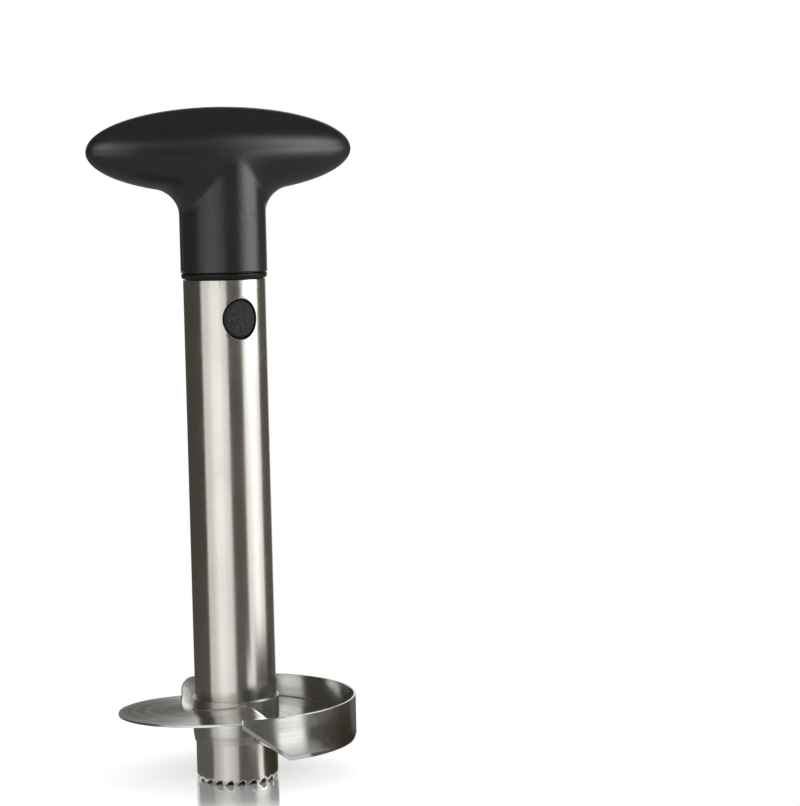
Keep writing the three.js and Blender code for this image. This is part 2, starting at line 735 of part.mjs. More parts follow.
const slicer = new THREE.Group();
slicer.add(grip, plug, blade);

export default slicer;
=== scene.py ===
# %% [markdown]
# This lesson dresses a T-handled coring slicer for its picture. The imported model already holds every
# rigid piece at its real size, so nothing here moves or resizes it. Blender adds what the eye reads
# first: fine surfaces with rounded edges, satin steel, grained plastic and studio light.
# Lengths are in metres. The slicer stands on its toothed mouth, +Z runs up the tube, the grip's bar
# lies along X, and angles round the tube are counted from the front (-Y) towards +X.

import math

import bmesh
import bpy
import numpy as np
from mathutils import Matrix, Vector


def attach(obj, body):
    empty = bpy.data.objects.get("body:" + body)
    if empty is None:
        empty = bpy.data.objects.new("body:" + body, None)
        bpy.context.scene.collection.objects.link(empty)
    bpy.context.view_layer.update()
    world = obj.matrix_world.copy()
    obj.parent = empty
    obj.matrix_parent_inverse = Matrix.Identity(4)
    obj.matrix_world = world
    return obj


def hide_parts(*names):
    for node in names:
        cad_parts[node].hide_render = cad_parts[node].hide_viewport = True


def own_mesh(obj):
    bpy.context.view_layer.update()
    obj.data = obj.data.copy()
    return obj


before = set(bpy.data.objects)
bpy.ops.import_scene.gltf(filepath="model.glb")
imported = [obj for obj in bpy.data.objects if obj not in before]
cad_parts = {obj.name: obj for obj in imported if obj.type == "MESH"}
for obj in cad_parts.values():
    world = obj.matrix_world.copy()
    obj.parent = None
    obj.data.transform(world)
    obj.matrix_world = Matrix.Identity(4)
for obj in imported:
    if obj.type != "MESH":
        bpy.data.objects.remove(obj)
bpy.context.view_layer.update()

# %% [markdown]
# The picture was taken from a little above the grip's stem, 22 degrees to the left of the front
# button, through a long lens, and the object stands left of the middle. A camera is placed by its
# distance, height and three small turns instead of by a tracking constraint, because each number can
# then be read off the photograph's outlines by itself.

# %% Camera
CAMERA_SIDE = math.radians(-22)
CAMERA_DISTANCE = 0.9397
CAMERA_HEIGHT = 0.2197
CAMERA_YAW = math.radians(3.818)
CAMERA_PITCH = math.radians(5.063)
CAMERA_ROLL = math.radians(-1.247)
FOCAL_PIXELS = 2590.8
PHOTO_LONG_SIDE_PIXELS = 806
SENSOR_MM = 36


def turned_pair(first, second, angle):
    """Two square axes turned in their own plane: first leans towards second by the angle."""
    return (
        first * math.cos(angle) + second * math.sin(angle),
        second * math.cos(angle) - first * math.sin(angle),
    )


def place_camera():
    forward = np.array([-math.sin(CAMERA_SIDE), math.cos(CAMERA_SIDE), 0])
    right = np.array([math.cos(CAMERA_SIDE), math.sin(CAMERA_SIDE), 0])
    up = np.array([0, 0, 1])
    place = -CAMERA_DISTANCE * forward + CAMERA_HEIGHT * up
    forward, right = turned_pair(forward, right, CAMERA_YAW)
    forward, up = turned_pair(forward, up, -CAMERA_PITCH)
    right, up = turned_pair(right, up, CAMERA_ROLL)
    camera = bpy.data.objects.new("camera", bpy.data.cameras.new("camera"))
    turn = np.stack([right, up, -forward], axis=1)
    camera.matrix_world = Matrix.Translation(place) @ Matrix(turn.tolist()).to_4x4()
    camera.data.sensor_width = SENSOR_MM
    camera.data.lens = FOCAL_PIXELS * SENSOR_MM / PHOTO_LONG_SIDE_PIXELS
    bpy.context.scene.collection.objects.link(camera)
    bpy.context.scene.camera = camera
    return camera


camera = place_camera()
print("Lens, mm:", round(camera.data.lens, 2))

# %% [markdown]
# Every new surface here is a grid of points, worked out with numpy as one array and joined at its
# seams. Nearly all of them are laid round the tube's axis, so a point is given by its radius, its
# angle from the front and its level.

# %% From grids of points to closed pieces
WELD_DISTANCE = 2e-7


def ring_point(radius, angle, level):
    """x is radius times the angle's sine, y is minus radius times its cosine, z is the level."""
    radius, angle, level = np.broadcast_arrays(radius, angle, level)
    return np.stack([radius * np.sin(angle), -radius * np.cos(angle), level], axis=-1)


def grid_faces(rows, columns, around):
    """Each face joins a point to the next in its row and to the same two in the next row."""
    row = np.arange(rows - 1)[:, None] * columns
    here = np.arange(columns if around else columns - 1)[None, :]
    there = (here + 1) % columns
    corners = [row + here, row + there, row + columns + there, row + columns + here]
    return np.stack(corners, axis=-1).reshape(-1, 4)


def join_grids(name, grids):
    """Grids of points, each with a flag that closes its rows round, become one welded mesh."""
    points, faces, start = [], [], 0
    for grid, around in grids:
        rows, columns = grid.shape[:2]
        points.append(grid.reshape(-1, 3))
        faces.append(grid_faces(rows, columns, around) + start)
        start += rows * columns
    mesh = bpy.data.meshes.new(name)
    mesh.from_pydata(np.concatenate(points), [], np.concatenate(faces).tolist())
    shape = bmesh.new()
    shape.from_mesh(mesh)
    bmesh.ops.remove_doubles(shape, verts=shape.verts, dist=WELD_DISTANCE)
    bmesh.ops.recalc_face_normals(shape, faces=shape.faces)
    open_edges = sum(not edge.is_manifold for edge in shape.edges)
    shape.to_mesh(mesh)
    shape.free()
    mesh.shade_smooth()
    print(f"{name}: {len(mesh.polygons)} faces, {open_edges} open edges")
    return mesh


def add_piece(name, grids, body, replaced=()):
    """A closed mesh as an object that rides on a body and stands for the named CAD nodes."""
    piece = bpy.data.objects.new(name, join_grids(name, grids))
    bpy.context.scene.collection.objects.link(piece)
    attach(piece, body)
    if replaced:
        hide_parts(*replaced)
    return piece


def in_front(points):
    return points


def behind(points):
    """The same points on the far side of the tube: half a turn about its axis."""
    return points * np.array([-1, -1, 1])


SIDES = {"front": in_front, "rear": behind}


def add_pair(name, grids, body, node):
    """A piece at the front and the same piece behind, with the side put into each of the names."""
    pair = []
    for side, place in SIDES.items():
        placed = [(place(grid), around) for grid, around in grids]
        pair.append(add_piece(f"{name}_{side}", placed, body.format(side), [node.format(side)]))
    return pair


def capped(grid):
    """A sleeve of sections, closed at both ends by gathering the end section into its middle."""
    ends = [np.broadcast_to(row.mean(0), row.shape)[None] for row in (grid[0], grid[-1])]
    return np.concatenate([ends[0], grid, ends[1]])


# %% [markdown]
# Sharp corners never catch light, and real ones always do, because a press, a mould or a polishing
# wheel rounds them. One helper rounds the corners of any outline, so each profile below is only the
# few corners that its maker would draw.

# %% Rounded outlines
ARC_STEPS = 4


def rounded(corners, radii, steps=ARC_STEPS):
    """Each corner becomes an arc that touches both its sides: the arc starts at the radius divided by
    the tangent of half the corner's angle, and its centre lies on the corner's bisector."""
    corners = np.asarray(corners, float)
    outline = []
    neighbours = zip(corners, np.roll(corners, 1, 0), np.roll(corners, -1, 0), radii)
    for corner, before, after, radius in neighbours:
        if radius == 0:
            outline.append(corner[None])
            continue
        back, on = (before - corner), (after - corner)
        back, on = back / np.linalg.norm(back), on / np.linalg.norm(on)
        half = math.acos(np.clip(back @ on, -1, 1)) / 2
        centre = corner + (back + on) / np.linalg.norm(back + on) * radius / math.sin(half)
        first = corner + back * radius / math.tan(half) - centre
        last = corner + on * radius / math.tan(half) - centre
        sweep = math.pi - 2 * half
        share = np.linspace(0, 1, steps + 1)[:, None]
        arc = np.sin((1 - share) * sweep) * first + np.sin(share * sweep) * last
        outline.append(centre + arc / math.sin(sweep))
    return np.concatenate(outline)


def closed(outline):
    return np.concatenate([outline, outline[:1]])


def turned(outline, steps):
    """An outline of (radius, level) pairs carried round the tube's axis."""
    angles = np.linspace(0, math.tau, steps, endpoint=False)
    return ring_point(outline[:, 0, None], angles[None, :], outline[:, 1, None]), True


# %% [markdown]
# The grip is a hollow T of black plastic, moulded as a front and a rear shell. Its form is an oval bar
# that runs into a round stem through a fillet, wide under the bar's ends and narrow at the sides.
# Sculpting or metaballs would only come near the outline, so the surface is solved: one formula says
# how far any point is from the skin, and every grid point is pushed out until that distance is zero.

# %% Grip formula
GRIP_LENGTH = 0.102
GRIP_DEPTH = 0.0314
GRIP_HEIGHT = 0.0312
BAR_LEVEL = 0.2294
STEM_RADIUS = 0.01565
STEM_FOOT = 0.1857
END_FILLET = 0.0092
SIDE_FILLET = 0.0004
SOLVER_STEPS = 34
TINY = 1e-9
SLOPE_STEP = 1e-6


def from_bar(x, y, z):
    """Distance to the oval bar: the scaled radius less one, times it, over the length of its slope."""
    a, b, c = GRIP_LENGTH / 2, GRIP_DEPTH / 2, GRIP_HEIGHT / 2
    rise = z - BAR_LEVEL
    scaled = np.sqrt((x / a) ** 2 + (y / b) ** 2 + (rise / c) ** 2)
    slope = np.sqrt((x / a**2) ** 2 + (y / b**2) ** 2 + (rise / c**2) ** 2)
    return scaled * (scaled - 1) / np.maximum(slope, TINY)


def from_grip(x, y, z):
    """Distance to bar and stem joined by a fillet: where both distances are under the fillet's
    radius, the corner between them is filled up to a circle of that radius."""
    bar = from_bar(x, y, z)
    radial = np.maximum(np.hypot(x, y), TINY)
    above = z - BAR_LEVEL
    beside = radial - STEM_RADIUS
    stem = np.where(above > 0, np.hypot(np.maximum(beside, 0), above), beside)
    fillet = SIDE_FILLET + (END_FILLET - SIDE_FILLET) * (x / radial) ** 2
    near = np.hypot(np.maximum(fillet - bar, 0), np.maximum(fillet - stem, 0))
    return np.maximum(fillet, np.minimum(bar, stem)) - near


def reach(across, deep, level):
    """The radius in each direction at which the distance is zero, by halving an interval."""
    inside = np.zeros(np.broadcast(across, deep, level).shape)
    outside = np.full_like(inside, GRIP_LENGTH)
    for _ in range(SOLVER_STEPS):
        middle = (inside + outside) / 2
        within = from_grip(across * middle, deep * middle, level) < 0
        inside, outside = np.where(within, middle, inside), np.where(within, outside, middle)
    return inside


def outward(points):
    """The skin's unit normal: the slope of the distance formula, from small differences."""
    step = SLOPE_STEP
    x, y, z = points[..., 0], points[..., 1], points[..., 2]
    slope = np.stack([
        from_grip(x + step, y, z) - from_grip(x - step, y, z),
        from_grip(x, y + step, z) - from_grip(x, y - step, z),
        from_grip(x, y, z + step) - from_grip(x, y, z - step),
    ], axis=-1)
    return slope / np.maximum(np.linalg.norm(slope, axis=-1, keepdims=True), TINY)


print("Stem reach, mm:", round(1000 * float(reach(1.0, 0.0, STEM_FOOT)), 2))

# %% [markdown]
# The rows of the grip are cut level by level. Even steps in height would leave the crown and the
# bar's underside coarse, so the levels are spread evenly along the outline instead. Each shell is the
# skin, a rounded foot, the same skin again one wall further in, and a flat parting face on each side.
# The two shells keep a hairline seam, as the welded halves of a real housing do.

# %% Grip shells
GRIP_ROWS = 150
GRIP_COLUMNS = 121
SHELL_WALL = 0.0024
FOOT_HEIGHT = 0.0012
FOOT_TAPER = 0.0003
FOOT_ROUND = 0.0002
FOOT_LIP = 0.00015
SEAM_GAP = 0.00006
SEAM_ROUND = 0.00022
OUTLINE_STEPS = 3000


def grip_levels():
    """Levels at even distances along the end outline, from the crown to the top of the foot."""
    drop = BAR_LEVEL - STEM_FOOT - FOOT_HEIGHT
    turn = np.linspace(0, math.pi, OUTLINE_STEPS)
    half = GRIP_HEIGHT / 2
    dense = BAR_LEVEL + half * np.cos(turn)
    dense = np.concatenate([dense, np.linspace(BAR_LEVEL - half, BAR_LEVEL - drop, OUTLINE_STEPS)[1:]])
    outline = reach(1.0, 0.0, dense)
    along = np.concatenate([[0], np.cumsum(np.hypot(np.diff(outline), np.diff(dense)))])
    return np.interp(np.linspace(0, along[-1], GRIP_ROWS), along, dense)


def shell_skin(levels):
    """Half of the skin: on each level the columns are spread as on an oval of that level's length
    and depth, and none comes nearer to the parting plane than the seam and its round."""
    z = levels[:, None]
    length, depth = reach(1.0, 0.0, z), reach(0.0, 1.0, z)
    turn = np.linspace(0, math.pi, GRIP_COLUMNS)[None, :]
    across, deep = length * np.cos(turn), -depth * np.sin(turn)
    size = np.maximum(np.hypot(across, deep), TINY)
    radius = reach(across / size, deep / size, z)
    points = np.stack(np.broadcast_arrays(radius * across / size, radius * deep / size, z), axis=-1)
    points[0] = [0, 0, BAR_LEVEL + GRIP_HEIGHT / 2]
    normals = outward(points)
    points[..., 1] = np.minimum(points[..., 1], -SEAM_GAP - SEAM_ROUND)
    return points, normals


def shell_rim(last):
    """The foot: a fine lip, a rounded outer edge and a flat land, carried round the stem."""
    section = rounded(
        [
            [0, FOOT_HEIGHT], [0, FOOT_ROUND + FOOT_TAPER], [-FOOT_LIP, FOOT_ROUND], [-FOOT_LIP, 0],
            [SHELL_WALL, 0], [SHELL_WALL, FOOT_HEIGHT],
        ],
        [0, FOOT_LIP, FOOT_LIP, FOOT_ROUND, FOOT_ROUND, 0],
    )
    direction = last[:, :2] / np.linalg.norm(last[:, :2], axis=1, keepdims=True)
    flat = (STEM_RADIUS - section[:, 0])[:, None, None] * direction[None]
    level = np.broadcast_to((STEM_FOOT + section[:, 1])[:, None, None], flat.shape[:2] + (1,))
    rim = np.concatenate([flat, level], axis=-1)
    rim[..., 1] = np.minimum(rim[..., 1], -SEAM_GAP - SEAM_ROUND)
    return rim


def parting_face(skin, normals, count):
    """From the skin's edge round into the flat parting face and round out to the inner skin, with as
    many points as the foot's section has: two ends, and two arcs of one point more than their steps."""
    section = rounded(
        [[0, SEAM_ROUND], [0, 0], [SHELL_WALL, 0], [SHELL_WALL, SEAM_ROUND]],
        [0, SEAM_ROUND, SEAM_ROUND, 0],
        steps=(count - 4) // 2,
    )
    sunk = skin[:, None, :] - section[None, :, :1] * normals[:, None, :]
    sunk[..., 1] = -SEAM_GAP - section[None, :, 1]
    return sunk


def grip_shell():
    levels = grip_levels()
    skin, normals = shell_skin(levels)
    inner = skin - SHELL_WALL * normals
    inner[..., 1] = np.minimum(inner[..., 1], -SEAM_GAP - SEAM_ROUND)
    rim = shell_rim(skin[-1])
    rim[0], rim[-1] = skin[-1], inner[-1]
    sides = [parting_face(skin[:, column], normals[:, column], len(rim)) for column in (0, -1)]
    closers = [np.stack([side[-1], rim[:, column]]) for side, column in zip(sides, (0, -1))]
    whole = np.concatenate([skin, rim[1:-1], inner[::-1]])
    return [whole, *sides, *closers]


shell_grids = [(grid, False) for grid in grip_shell()]
grip_front, grip_rear = add_pair("grip", shell_grids, "slicer", "grip_{}_shell")

# %% [markdown]
# The two shells are welded along their seam with sound, which leaves a thin sunk line of molten
# plastic. Without it, daylight would show through the housing from the side.

# %% Grip seam weld
SEAM_DEPTHS = (0.0004, 0.002)
SEAM_WELD_SHARE = 0.8


def seam_weld_grid():
    """A thin strip that follows the seam from foot over crown to foot, sunk along the skin's normal."""
    levels = grip_levels()
    skin, normals = shell_skin(levels)
    edge = np.concatenate([skin[:0:-1, 0], skin[:, -1]]) * [1, 0, 1]
    inward = np.concatenate([normals[:0:-1, 0], normals[:, -1]]) * [1, 0, 1]
    inward[len(levels) - 1] = [0, 0, 1]
    near, far = SEAM_DEPTHS
    half = SEAM_GAP * SEAM_WELD_SHARE
    section = [[near, -half], [far, -half], [far, half], [near, half]]
    return np.stack([edge - depth * inward + [0, side, 0] for depth, side in section], axis=1)


seam_weld = add_piece("grip_seam_weld", [(capped(seam_weld_grid()), True)], "slicer")

# %% [markdown]
# The coring tube is thin steel, toothed at its mouth and pierced by two oval holes for the release
# buttons. A boolean cut would leave ragged faces that show in the reflections of polished metal. So the
# tube is a lattice of straight columns, and round each hole a patch of rings blends from a rectangle
# of that lattice to the oval, rolls over the edge, crosses the wall and blends back inside.

# %% Tube sizes and its tooth pattern
TUBE_RADIUS = 0.0149
TUBE_WALL = 0.0008
TUBE_TOP = 0.1831
TUBE_BORE = TUBE_RADIUS - TUBE_WALL
TOOTH_COUNT = 22
TOOTH_DEPTH = 0.0017
TOOTH_PHASE = math.radians(5)
TOOTH_LAND_SHARE = 0.16
TOOTH_PEAK_SHARE = 0.8
TOOTH_EDGE = 0.00008
RIM_EDGE = 0.00018
PEAK_POWER = 1.6
TOOTH_STEPS = (3, 8, 6)


def tooth_shares():
    """Places round one tooth as shares of its pitch, close together where the gullet drops."""
    on_land, climbing, falling = TOOTH_STEPS
    drop = np.sin(np.linspace(0, math.pi / 2, falling, endpoint=False))
    return np.concatenate([
        np.linspace(0, TOOTH_LAND_SHARE, on_land, endpoint=False),
        np.linspace(TOOTH_LAND_SHARE, TOOTH_PEAK_SHARE, climbing, endpoint=False),
        TOOTH_PEAK_SHARE + (1 - TOOTH_PEAK_SHARE) * drop,
    ])


def tooth_rise(share):
    """The gullet rises from the land as a power of a sine and falls as a quarter of an ellipse."""
    climb = np.clip((share - TOOTH_LAND_SHARE) / (TOOTH_PEAK_SHARE - TOOTH_LAND_SHARE), 0, 1)
    fall = np.clip((share - TOOTH_PEAK_SHARE) / (1 - TOOTH_PEAK_SHARE), 0, 1)
    up = np.sin(climb * math.pi / 2) ** PEAK_POWER
    return TOOTH_DEPTH * np.where(share < TOOTH_PEAK_SHARE, up, np.sqrt(1 - fall**2))


shares = tooth_shares()
teeth = np.arange(TOOTH_COUNT)[:, None]
tube_angles = (TOOTH_PHASE + (teeth + shares[None, :]) * math.tau / TOOTH_COUNT).ravel()
tube_rise = np.tile(tooth_rise(shares), TOOTH_COUNT)
print("Columns round the tube:", len(tube_angles))

# %% Tube holes
BUTTON_LEVEL = 0.1691
HOLE_HALF_WIDTH = 0.0065
HOLE_HALF_HEIGHT = 0.0073
HOLE_EDGE = 0.00014
PATCH_HALF_ANGLE = math.radians(37)
PATCH_HALF_HEIGHT = 0.0112
PATCH_ROWS = 14
PATCH_RINGS = 7
HOLE_STEPS = 3


def patch_columns(angles, middle):
    """The lattice columns that the patch spans, as numbers that may run past the last column."""
    count = len(angles)
    away = (angles - middle + math.pi) % math.tau - math.pi
    first = np.where(away < -PATCH_HALF_ANGLE, away, -math.inf).argmax()
    last = np.where(away > PATCH_HALF_ANGLE, away, math.inf).argmin()
    return first, last + (count if last < first else 0)


def hole_patch(angles, levels):
    """Rings from the rectangle to the oval outside, over the edge and back to the rectangle inside.
    A ring's point keeps the direction in which its corner of the rectangle lies from the middle."""
    frame_angle = np.concatenate([
        angles, np.full(len(levels) - 2, angles[-1]), angles[::-1], np.full(len(levels) - 2, angles[0]),
    ])
    frame_level = np.concatenate([
        np.full(len(angles), levels[0]), levels[1:-1], np.full(len(angles), levels[-1]), levels[-2:0:-1],
    ])
    turn = np.arctan2((frame_level - BUTTON_LEVEL) / PATCH_HALF_HEIGHT, frame_angle / PATCH_HALF_ANGLE)

    def oval(margin, radius):
        x = (HOLE_HALF_WIDTH + margin) * np.cos(turn)
        level = BUTTON_LEVEL + (HOLE_HALF_HEIGHT + margin) * np.sin(turn)
        return ring_point(radius, np.arcsin(x / radius), level)

    def rings(radius):
        x = (HOLE_HALF_WIDTH + HOLE_EDGE) * np.cos(turn)
        share = np.linspace(0, 1, PATCH_RINGS)[:, None]
        angle = (1 - share) * frame_angle + share * np.arcsin(x / radius)
        oval_level = BUTTON_LEVEL + (HOLE_HALF_HEIGHT + HOLE_EDGE) * np.sin(turn)
        return ring_point(radius, angle, (1 - share) * frame_level + share * oval_level)

    edge = rounded(
        [[HOLE_EDGE, 0], [0, 0], [0, TUBE_WALL], [HOLE_EDGE, TUBE_WALL]],
        [0, HOLE_EDGE, HOLE_EDGE, 0], steps=HOLE_STEPS,
    )[1:-1]
    through = np.stack([oval(margin, TUBE_RADIUS - depth) for margin, depth in edge])
    return np.concatenate([rings(TUBE_RADIUS), through, rings(TUBE_BORE)[::-1]])


# %% Tube lattice
SKIRT_LEVELS = (0.0026, 0.0034, 0.006, 0.03, 0.06, 0.09, 0.12, 0.15)
MOUTH_STEPS = 2


def skirt_and_crown(low, high):
    """Rings up to the low level, with the toothed mouth, and rings from the high one, with the rim. Each
    is a section of radii and levels carried round, and the mouth's levels rise with the teeth."""
    levels = np.array([*SKIRT_LEVELS, low])
    mouth = rounded(
        [[TUBE_BORE, TOOTH_EDGE], [TUBE_BORE, 0], [TUBE_RADIUS, 0], [TUBE_RADIUS, TOOTH_EDGE]],
        [0, TOOTH_EDGE, TOOTH_EDGE, 0], steps=MOUTH_STEPS,
    )
    inner = ring_point(TUBE_BORE, tube_angles[None, :], levels[::-1, None])
    lips = ring_point(mouth[:, :1], tube_angles[None, :], mouth[:, 1:] + tube_rise[None, :])
    outer = ring_point(TUBE_RADIUS, tube_angles[None, :], levels[:, None])
    rim = rounded(
        [[TUBE_RADIUS, high], [TUBE_RADIUS, TUBE_TOP], [TUBE_BORE, TUBE_TOP], [TUBE_BORE, high]],
        [0, RIM_EDGE, RIM_EDGE, 0],
    )
    crown = ring_point(rim[:, :1], tube_angles[None, :], rim[:, 1:])
    return [(np.concatenate([inner, lips, outer]), True), (crown, True)]


def tube_grids():
    """Skirt below the holes, crown above them, strips between them and a patch round each."""
    low, high = BUTTON_LEVEL - PATCH_HALF_HEIGHT, BUTTON_LEVEL + PATCH_HALF_HEIGHT
    first, last = patch_columns(tube_angles, 0)
    count = len(tube_angles)
    levels = np.linspace(low, high, PATCH_ROWS)
    around = np.concatenate([tube_angles - math.tau, tube_angles, tube_angles + math.tau])
    start = first if first > count // 2 else count + first
    patch_angles = around[start:][: last - first + 1]
    patch_angles = patch_angles - math.tau * round(float(patch_angles.mean()) / math.tau)
    patch = hole_patch(patch_angles, levels)
    opposite = patch_angles[0] + math.pi
    between = around[(around > patch_angles[-1] + TINY) & (around < opposite - TINY)]
    side_angles = np.concatenate([patch_angles[-1:], between, [opposite]])
    grids = skirt_and_crown(low, high)
    for place in SIDES.values():
        grids.append((place(patch), True))
        for radius in (TUBE_RADIUS, TUBE_BORE):
            grids.append((place(ring_point(radius, side_angles[None, :], levels[:, None])), False))
    return grids


tube = add_piece("coring_tube", tube_grids(), "slicer", ["corer_tube"])

# %% [markdown]
# The release buttons are oval posts whose faces follow the tube, with a lip behind that keeps them in
# the plug and a pocket for the spring. A button is one path from the middle of its face, over the rim,
# round the lip and into the pocket, and every point of that path is stretched round an oval.

# %% Release buttons
BUTTON_HALF_WIDTH = 0.0061
BUTTON_HALF_HEIGHT = 0.0069
BUTTON_FACE_RADIUS = 0.015
BUTTON_EDGE = 0.0013
BUTTON_BACK = 0.0089
LIP_WIDTH = 0.0015
LIP_FRONT = 0.0113
LIP_BACK = 0.0097
LIP_EDGE = 0.0002
POCKET_RADIUS = 0.00345
POCKET_FLOOR = 0.0109
BUTTON_COLUMNS = 144
FACE_SHARES = (0, 0.12, 0.3, 0.5, 0.7, 0.85, 0.95)
BACK_SHARES = (0, 0.5, 1)


def bent_oval(half_width, half_height, radius, flat=math.inf):
    """An oval row bent to a cylinder: y is minus the root of the radius squared less x squared, held
    at minus the flat's depth where it would lie further out."""
    turn = np.linspace(0, math.tau, BUTTON_COLUMNS, endpoint=False)
    x = half_width * np.cos(turn)
    y = np.maximum(-np.sqrt(radius**2 - x**2), -flat)
    return np.stack([x, y, BUTTON_LEVEL + half_height * np.sin(turn)], axis=-1)


def button_grid():
    """Rows for the face, the rim and lip, the back, the pocket and the middle of its floor."""
    size = np.array([BUTTON_HALF_WIDTH, BUTTON_HALF_HEIGHT])
    face = [bent_oval(*(share * (size - BUTTON_EDGE)), BUTTON_FACE_RADIUS) for share in FACE_SHARES]
    path = rounded(
        [
            [-BUTTON_EDGE, BUTTON_FACE_RADIUS], [0, BUTTON_FACE_RADIUS], [0, LIP_FRONT],
            [LIP_WIDTH, LIP_FRONT], [LIP_WIDTH, LIP_BACK], [0, LIP_BACK],
        ],
        [0, BUTTON_EDGE, LIP_EDGE, LIP_EDGE, LIP_EDGE, 0],
    )
    sides = [bent_oval(*(size + margin), radius) for margin, radius in path]
    back = [
        bent_oval(*((1 - share) * size + share * POCKET_RADIUS), LIP_BACK, BUTTON_BACK)
        for share in BACK_SHARES
    ]
    floor = back[-1].copy()
    floor[:, 1] = -POCKET_FLOOR
    middle = np.broadcast_to([0, -POCKET_FLOOR, BUTTON_LEVEL], floor.shape)
    return np.stack([*face, *sides, *back, floor, middle])


button_front, button_rear = add_pair(
    "button", [(button_grid(), True)], "button_{}", "release_button_{}",
)

# %% [markdown]
# A small compression spring pushes each button out. Each spring is given its own copy of its mesh.

# %% Button springs
SPRING_RADIUS = 0.0028
SPRING_WIRE_RADIUS = 0.00035
SPRING_TURNS = 6
SPRING_START = 0.00185
SPRING_END = 0.01035
SPRING_STEPS = 264
WIRE_STEPS = 12


def spring_grid():
    """Wire round a helix: from the centre line, out along the coil's radius by the wire angle's
    cosine and along the coil's axis by its sine, closed to a point at both ends."""
    share = np.linspace(0, 1, SPRING_STEPS)[:, None]
    turn = share * SPRING_TURNS * math.tau
    wire = np.linspace(0, math.tau, WIRE_STEPS, endpoint=False)[None, :]
    radius = SPRING_RADIUS + SPRING_WIRE_RADIUS * np.cos(wire)
    along = SPRING_START + (SPRING_END - SPRING_START) * share + SPRING_WIRE_RADIUS * np.sin(wire)
    grid = np.stack([radius * np.cos(turn), -along, BUTTON_LEVEL + radius * np.sin(turn)], axis=-1)
    return capped(grid)


spring_front, spring_rear = add_pair(
    "spring", [(spring_grid(), True)], "slicer", "button_spring_{}",
)
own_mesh(spring_front)
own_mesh(spring_rear)

# %% [markdown]
# The cutting head is three pieces of sheet steel round the tube's foot: a sleeve, a flat blade that
# climbs once round it, and a wall that cuts the outside. The wall is rolled from a strip. Its lower
# edge is ground sharp, its front is raked back, and its far end has rounded corners.

# %% Cutter wall
WALL_RADIUS = 0.044
WALL_SHEET = 0.0008
WALL_BORE = WALL_RADIUS - WALL_SHEET
WALL_FOOT = 0.0141
WALL_HEIGHT = 0.016
WALL_NOSE = 0.0032
WALL_START = math.radians(3)
WALL_RAKE = math.radians(22.5)
WALL_END = math.radians(186)
WALL_CORNER = 0.005
GROUND_SHEET = 0.0002
GROUND_HEIGHT = 0.0016
SHEET_EDGE = 0.00012
WALL_STEPS = (40, 260, 24)
BEVEL_LEAN = 0.2
BEVEL_TOP_SHARE = 1.1


def wall_grid():
    """A section of foot, ground bevel, outer face, top and inner face, carried along the wall. Its
    lower part follows the foot's level and its upper part the top's."""
    rake_steps, middle_steps, corner_steps = WALL_STEPS
    corner_turn = WALL_CORNER / WALL_RADIUS
    swing = np.linspace(0, math.pi / 2, corner_steps)[1:]
    angles = np.concatenate([
        np.linspace(WALL_START - WALL_RAKE, WALL_START, rake_steps, endpoint=False),
        np.linspace(WALL_START, WALL_END - corner_turn, middle_steps),
        WALL_END - corner_turn * (1 - np.sin(swing)),
    ])
    raked = np.clip((WALL_START - angles) / WALL_RAKE, 0, 1)
    run = np.maximum((angles - WALL_END) * WALL_RADIUS + WALL_CORNER, 0)
    inset = WALL_CORNER - np.sqrt(np.maximum(WALL_CORNER**2 - run**2, 0))
    low = WALL_FOOT + raked * (WALL_HEIGHT - WALL_NOSE) + inset
    high = WALL_FOOT + WALL_HEIGHT - inset
    edge = GROUND_SHEET / 4
    lower = rounded(
        [
            [WALL_BORE, GROUND_HEIGHT], [WALL_BORE, 0], [WALL_BORE + GROUND_SHEET, 0],
            [WALL_RADIUS, GROUND_HEIGHT], [WALL_RADIUS, BEVEL_TOP_SHARE * GROUND_HEIGHT],
        ],
        [0, edge, edge, 0, 0],
    )
    upper = rounded(
        [[WALL_RADIUS, -3 * SHEET_EDGE], [WALL_RADIUS, 0], [WALL_BORE, 0], [WALL_BORE, -3 * SHEET_EDGE]],
        [0, SHEET_EDGE, SHEET_EDGE, 0],
    )
    levels = np.concatenate([low[:, None] + lower[None, :, 1], high[:, None] + upper[None, :, 1]], axis=1)
    radii = np.concatenate([lower[:, 0], upper[:, 0]])
    return capped(ring_point(radii[None, :], angles[:, None], levels))


def mark_ground(piece, where):
    """A value on every face for its finish: one where the piece is ground to an edge, else zero."""
    faces = piece.data.polygons
    centres, normals = np.empty(3 * len(faces)), np.empty(3 * len(faces))
    faces.foreach_get("center", centres)
    faces.foreach_get("normal", normals)
    ground = where(centres.reshape(-1, 3), normals.reshape(-1, 3)).astype(float)
    piece.data.attributes.new("ground", "FLOAT", "FACE").data.foreach_set("value", ground)
    print(piece.name, "has", int(ground.sum()), "ground faces")


def on_wall_bevel(centres, normals):
    """Outer faces whose normal leans down: only the ground bevel and its edge do."""
    lean = normals[:, 2] < -BEVEL_LEAN
    return lean & (np.hypot(centres[:, 0], centres[:, 1]) > WALL_BORE + GROUND_SHEET / 2)


wall = add_piece("wall_of_cutter", [(wall_grid(), True)], "slicer", ["cutter_wall"])
mark_ground(wall, on_wall_bevel)

# %% [markdown]
# The slicing blade is a flat ring cut open and pulled into one turn of a screw, so that it draws
# itself down as the grip is turned. Its first few degrees are ground from above to a cutting edge.

# %% Spiral blade
DISC_INNER = 0.0161
DISC_OUTER = 0.0429
DISC_SHEET = 0.0009
DISC_PITCH = 0.013
DISC_LEVEL = 0.0163
DISC_START = math.radians(2)
DISC_TURN = math.radians(352)
DISC_BEVEL = math.radians(7)
DISC_COLUMNS = 420
DISC_CROWDING = 1.3
DISC_FLATNESS = 0.5


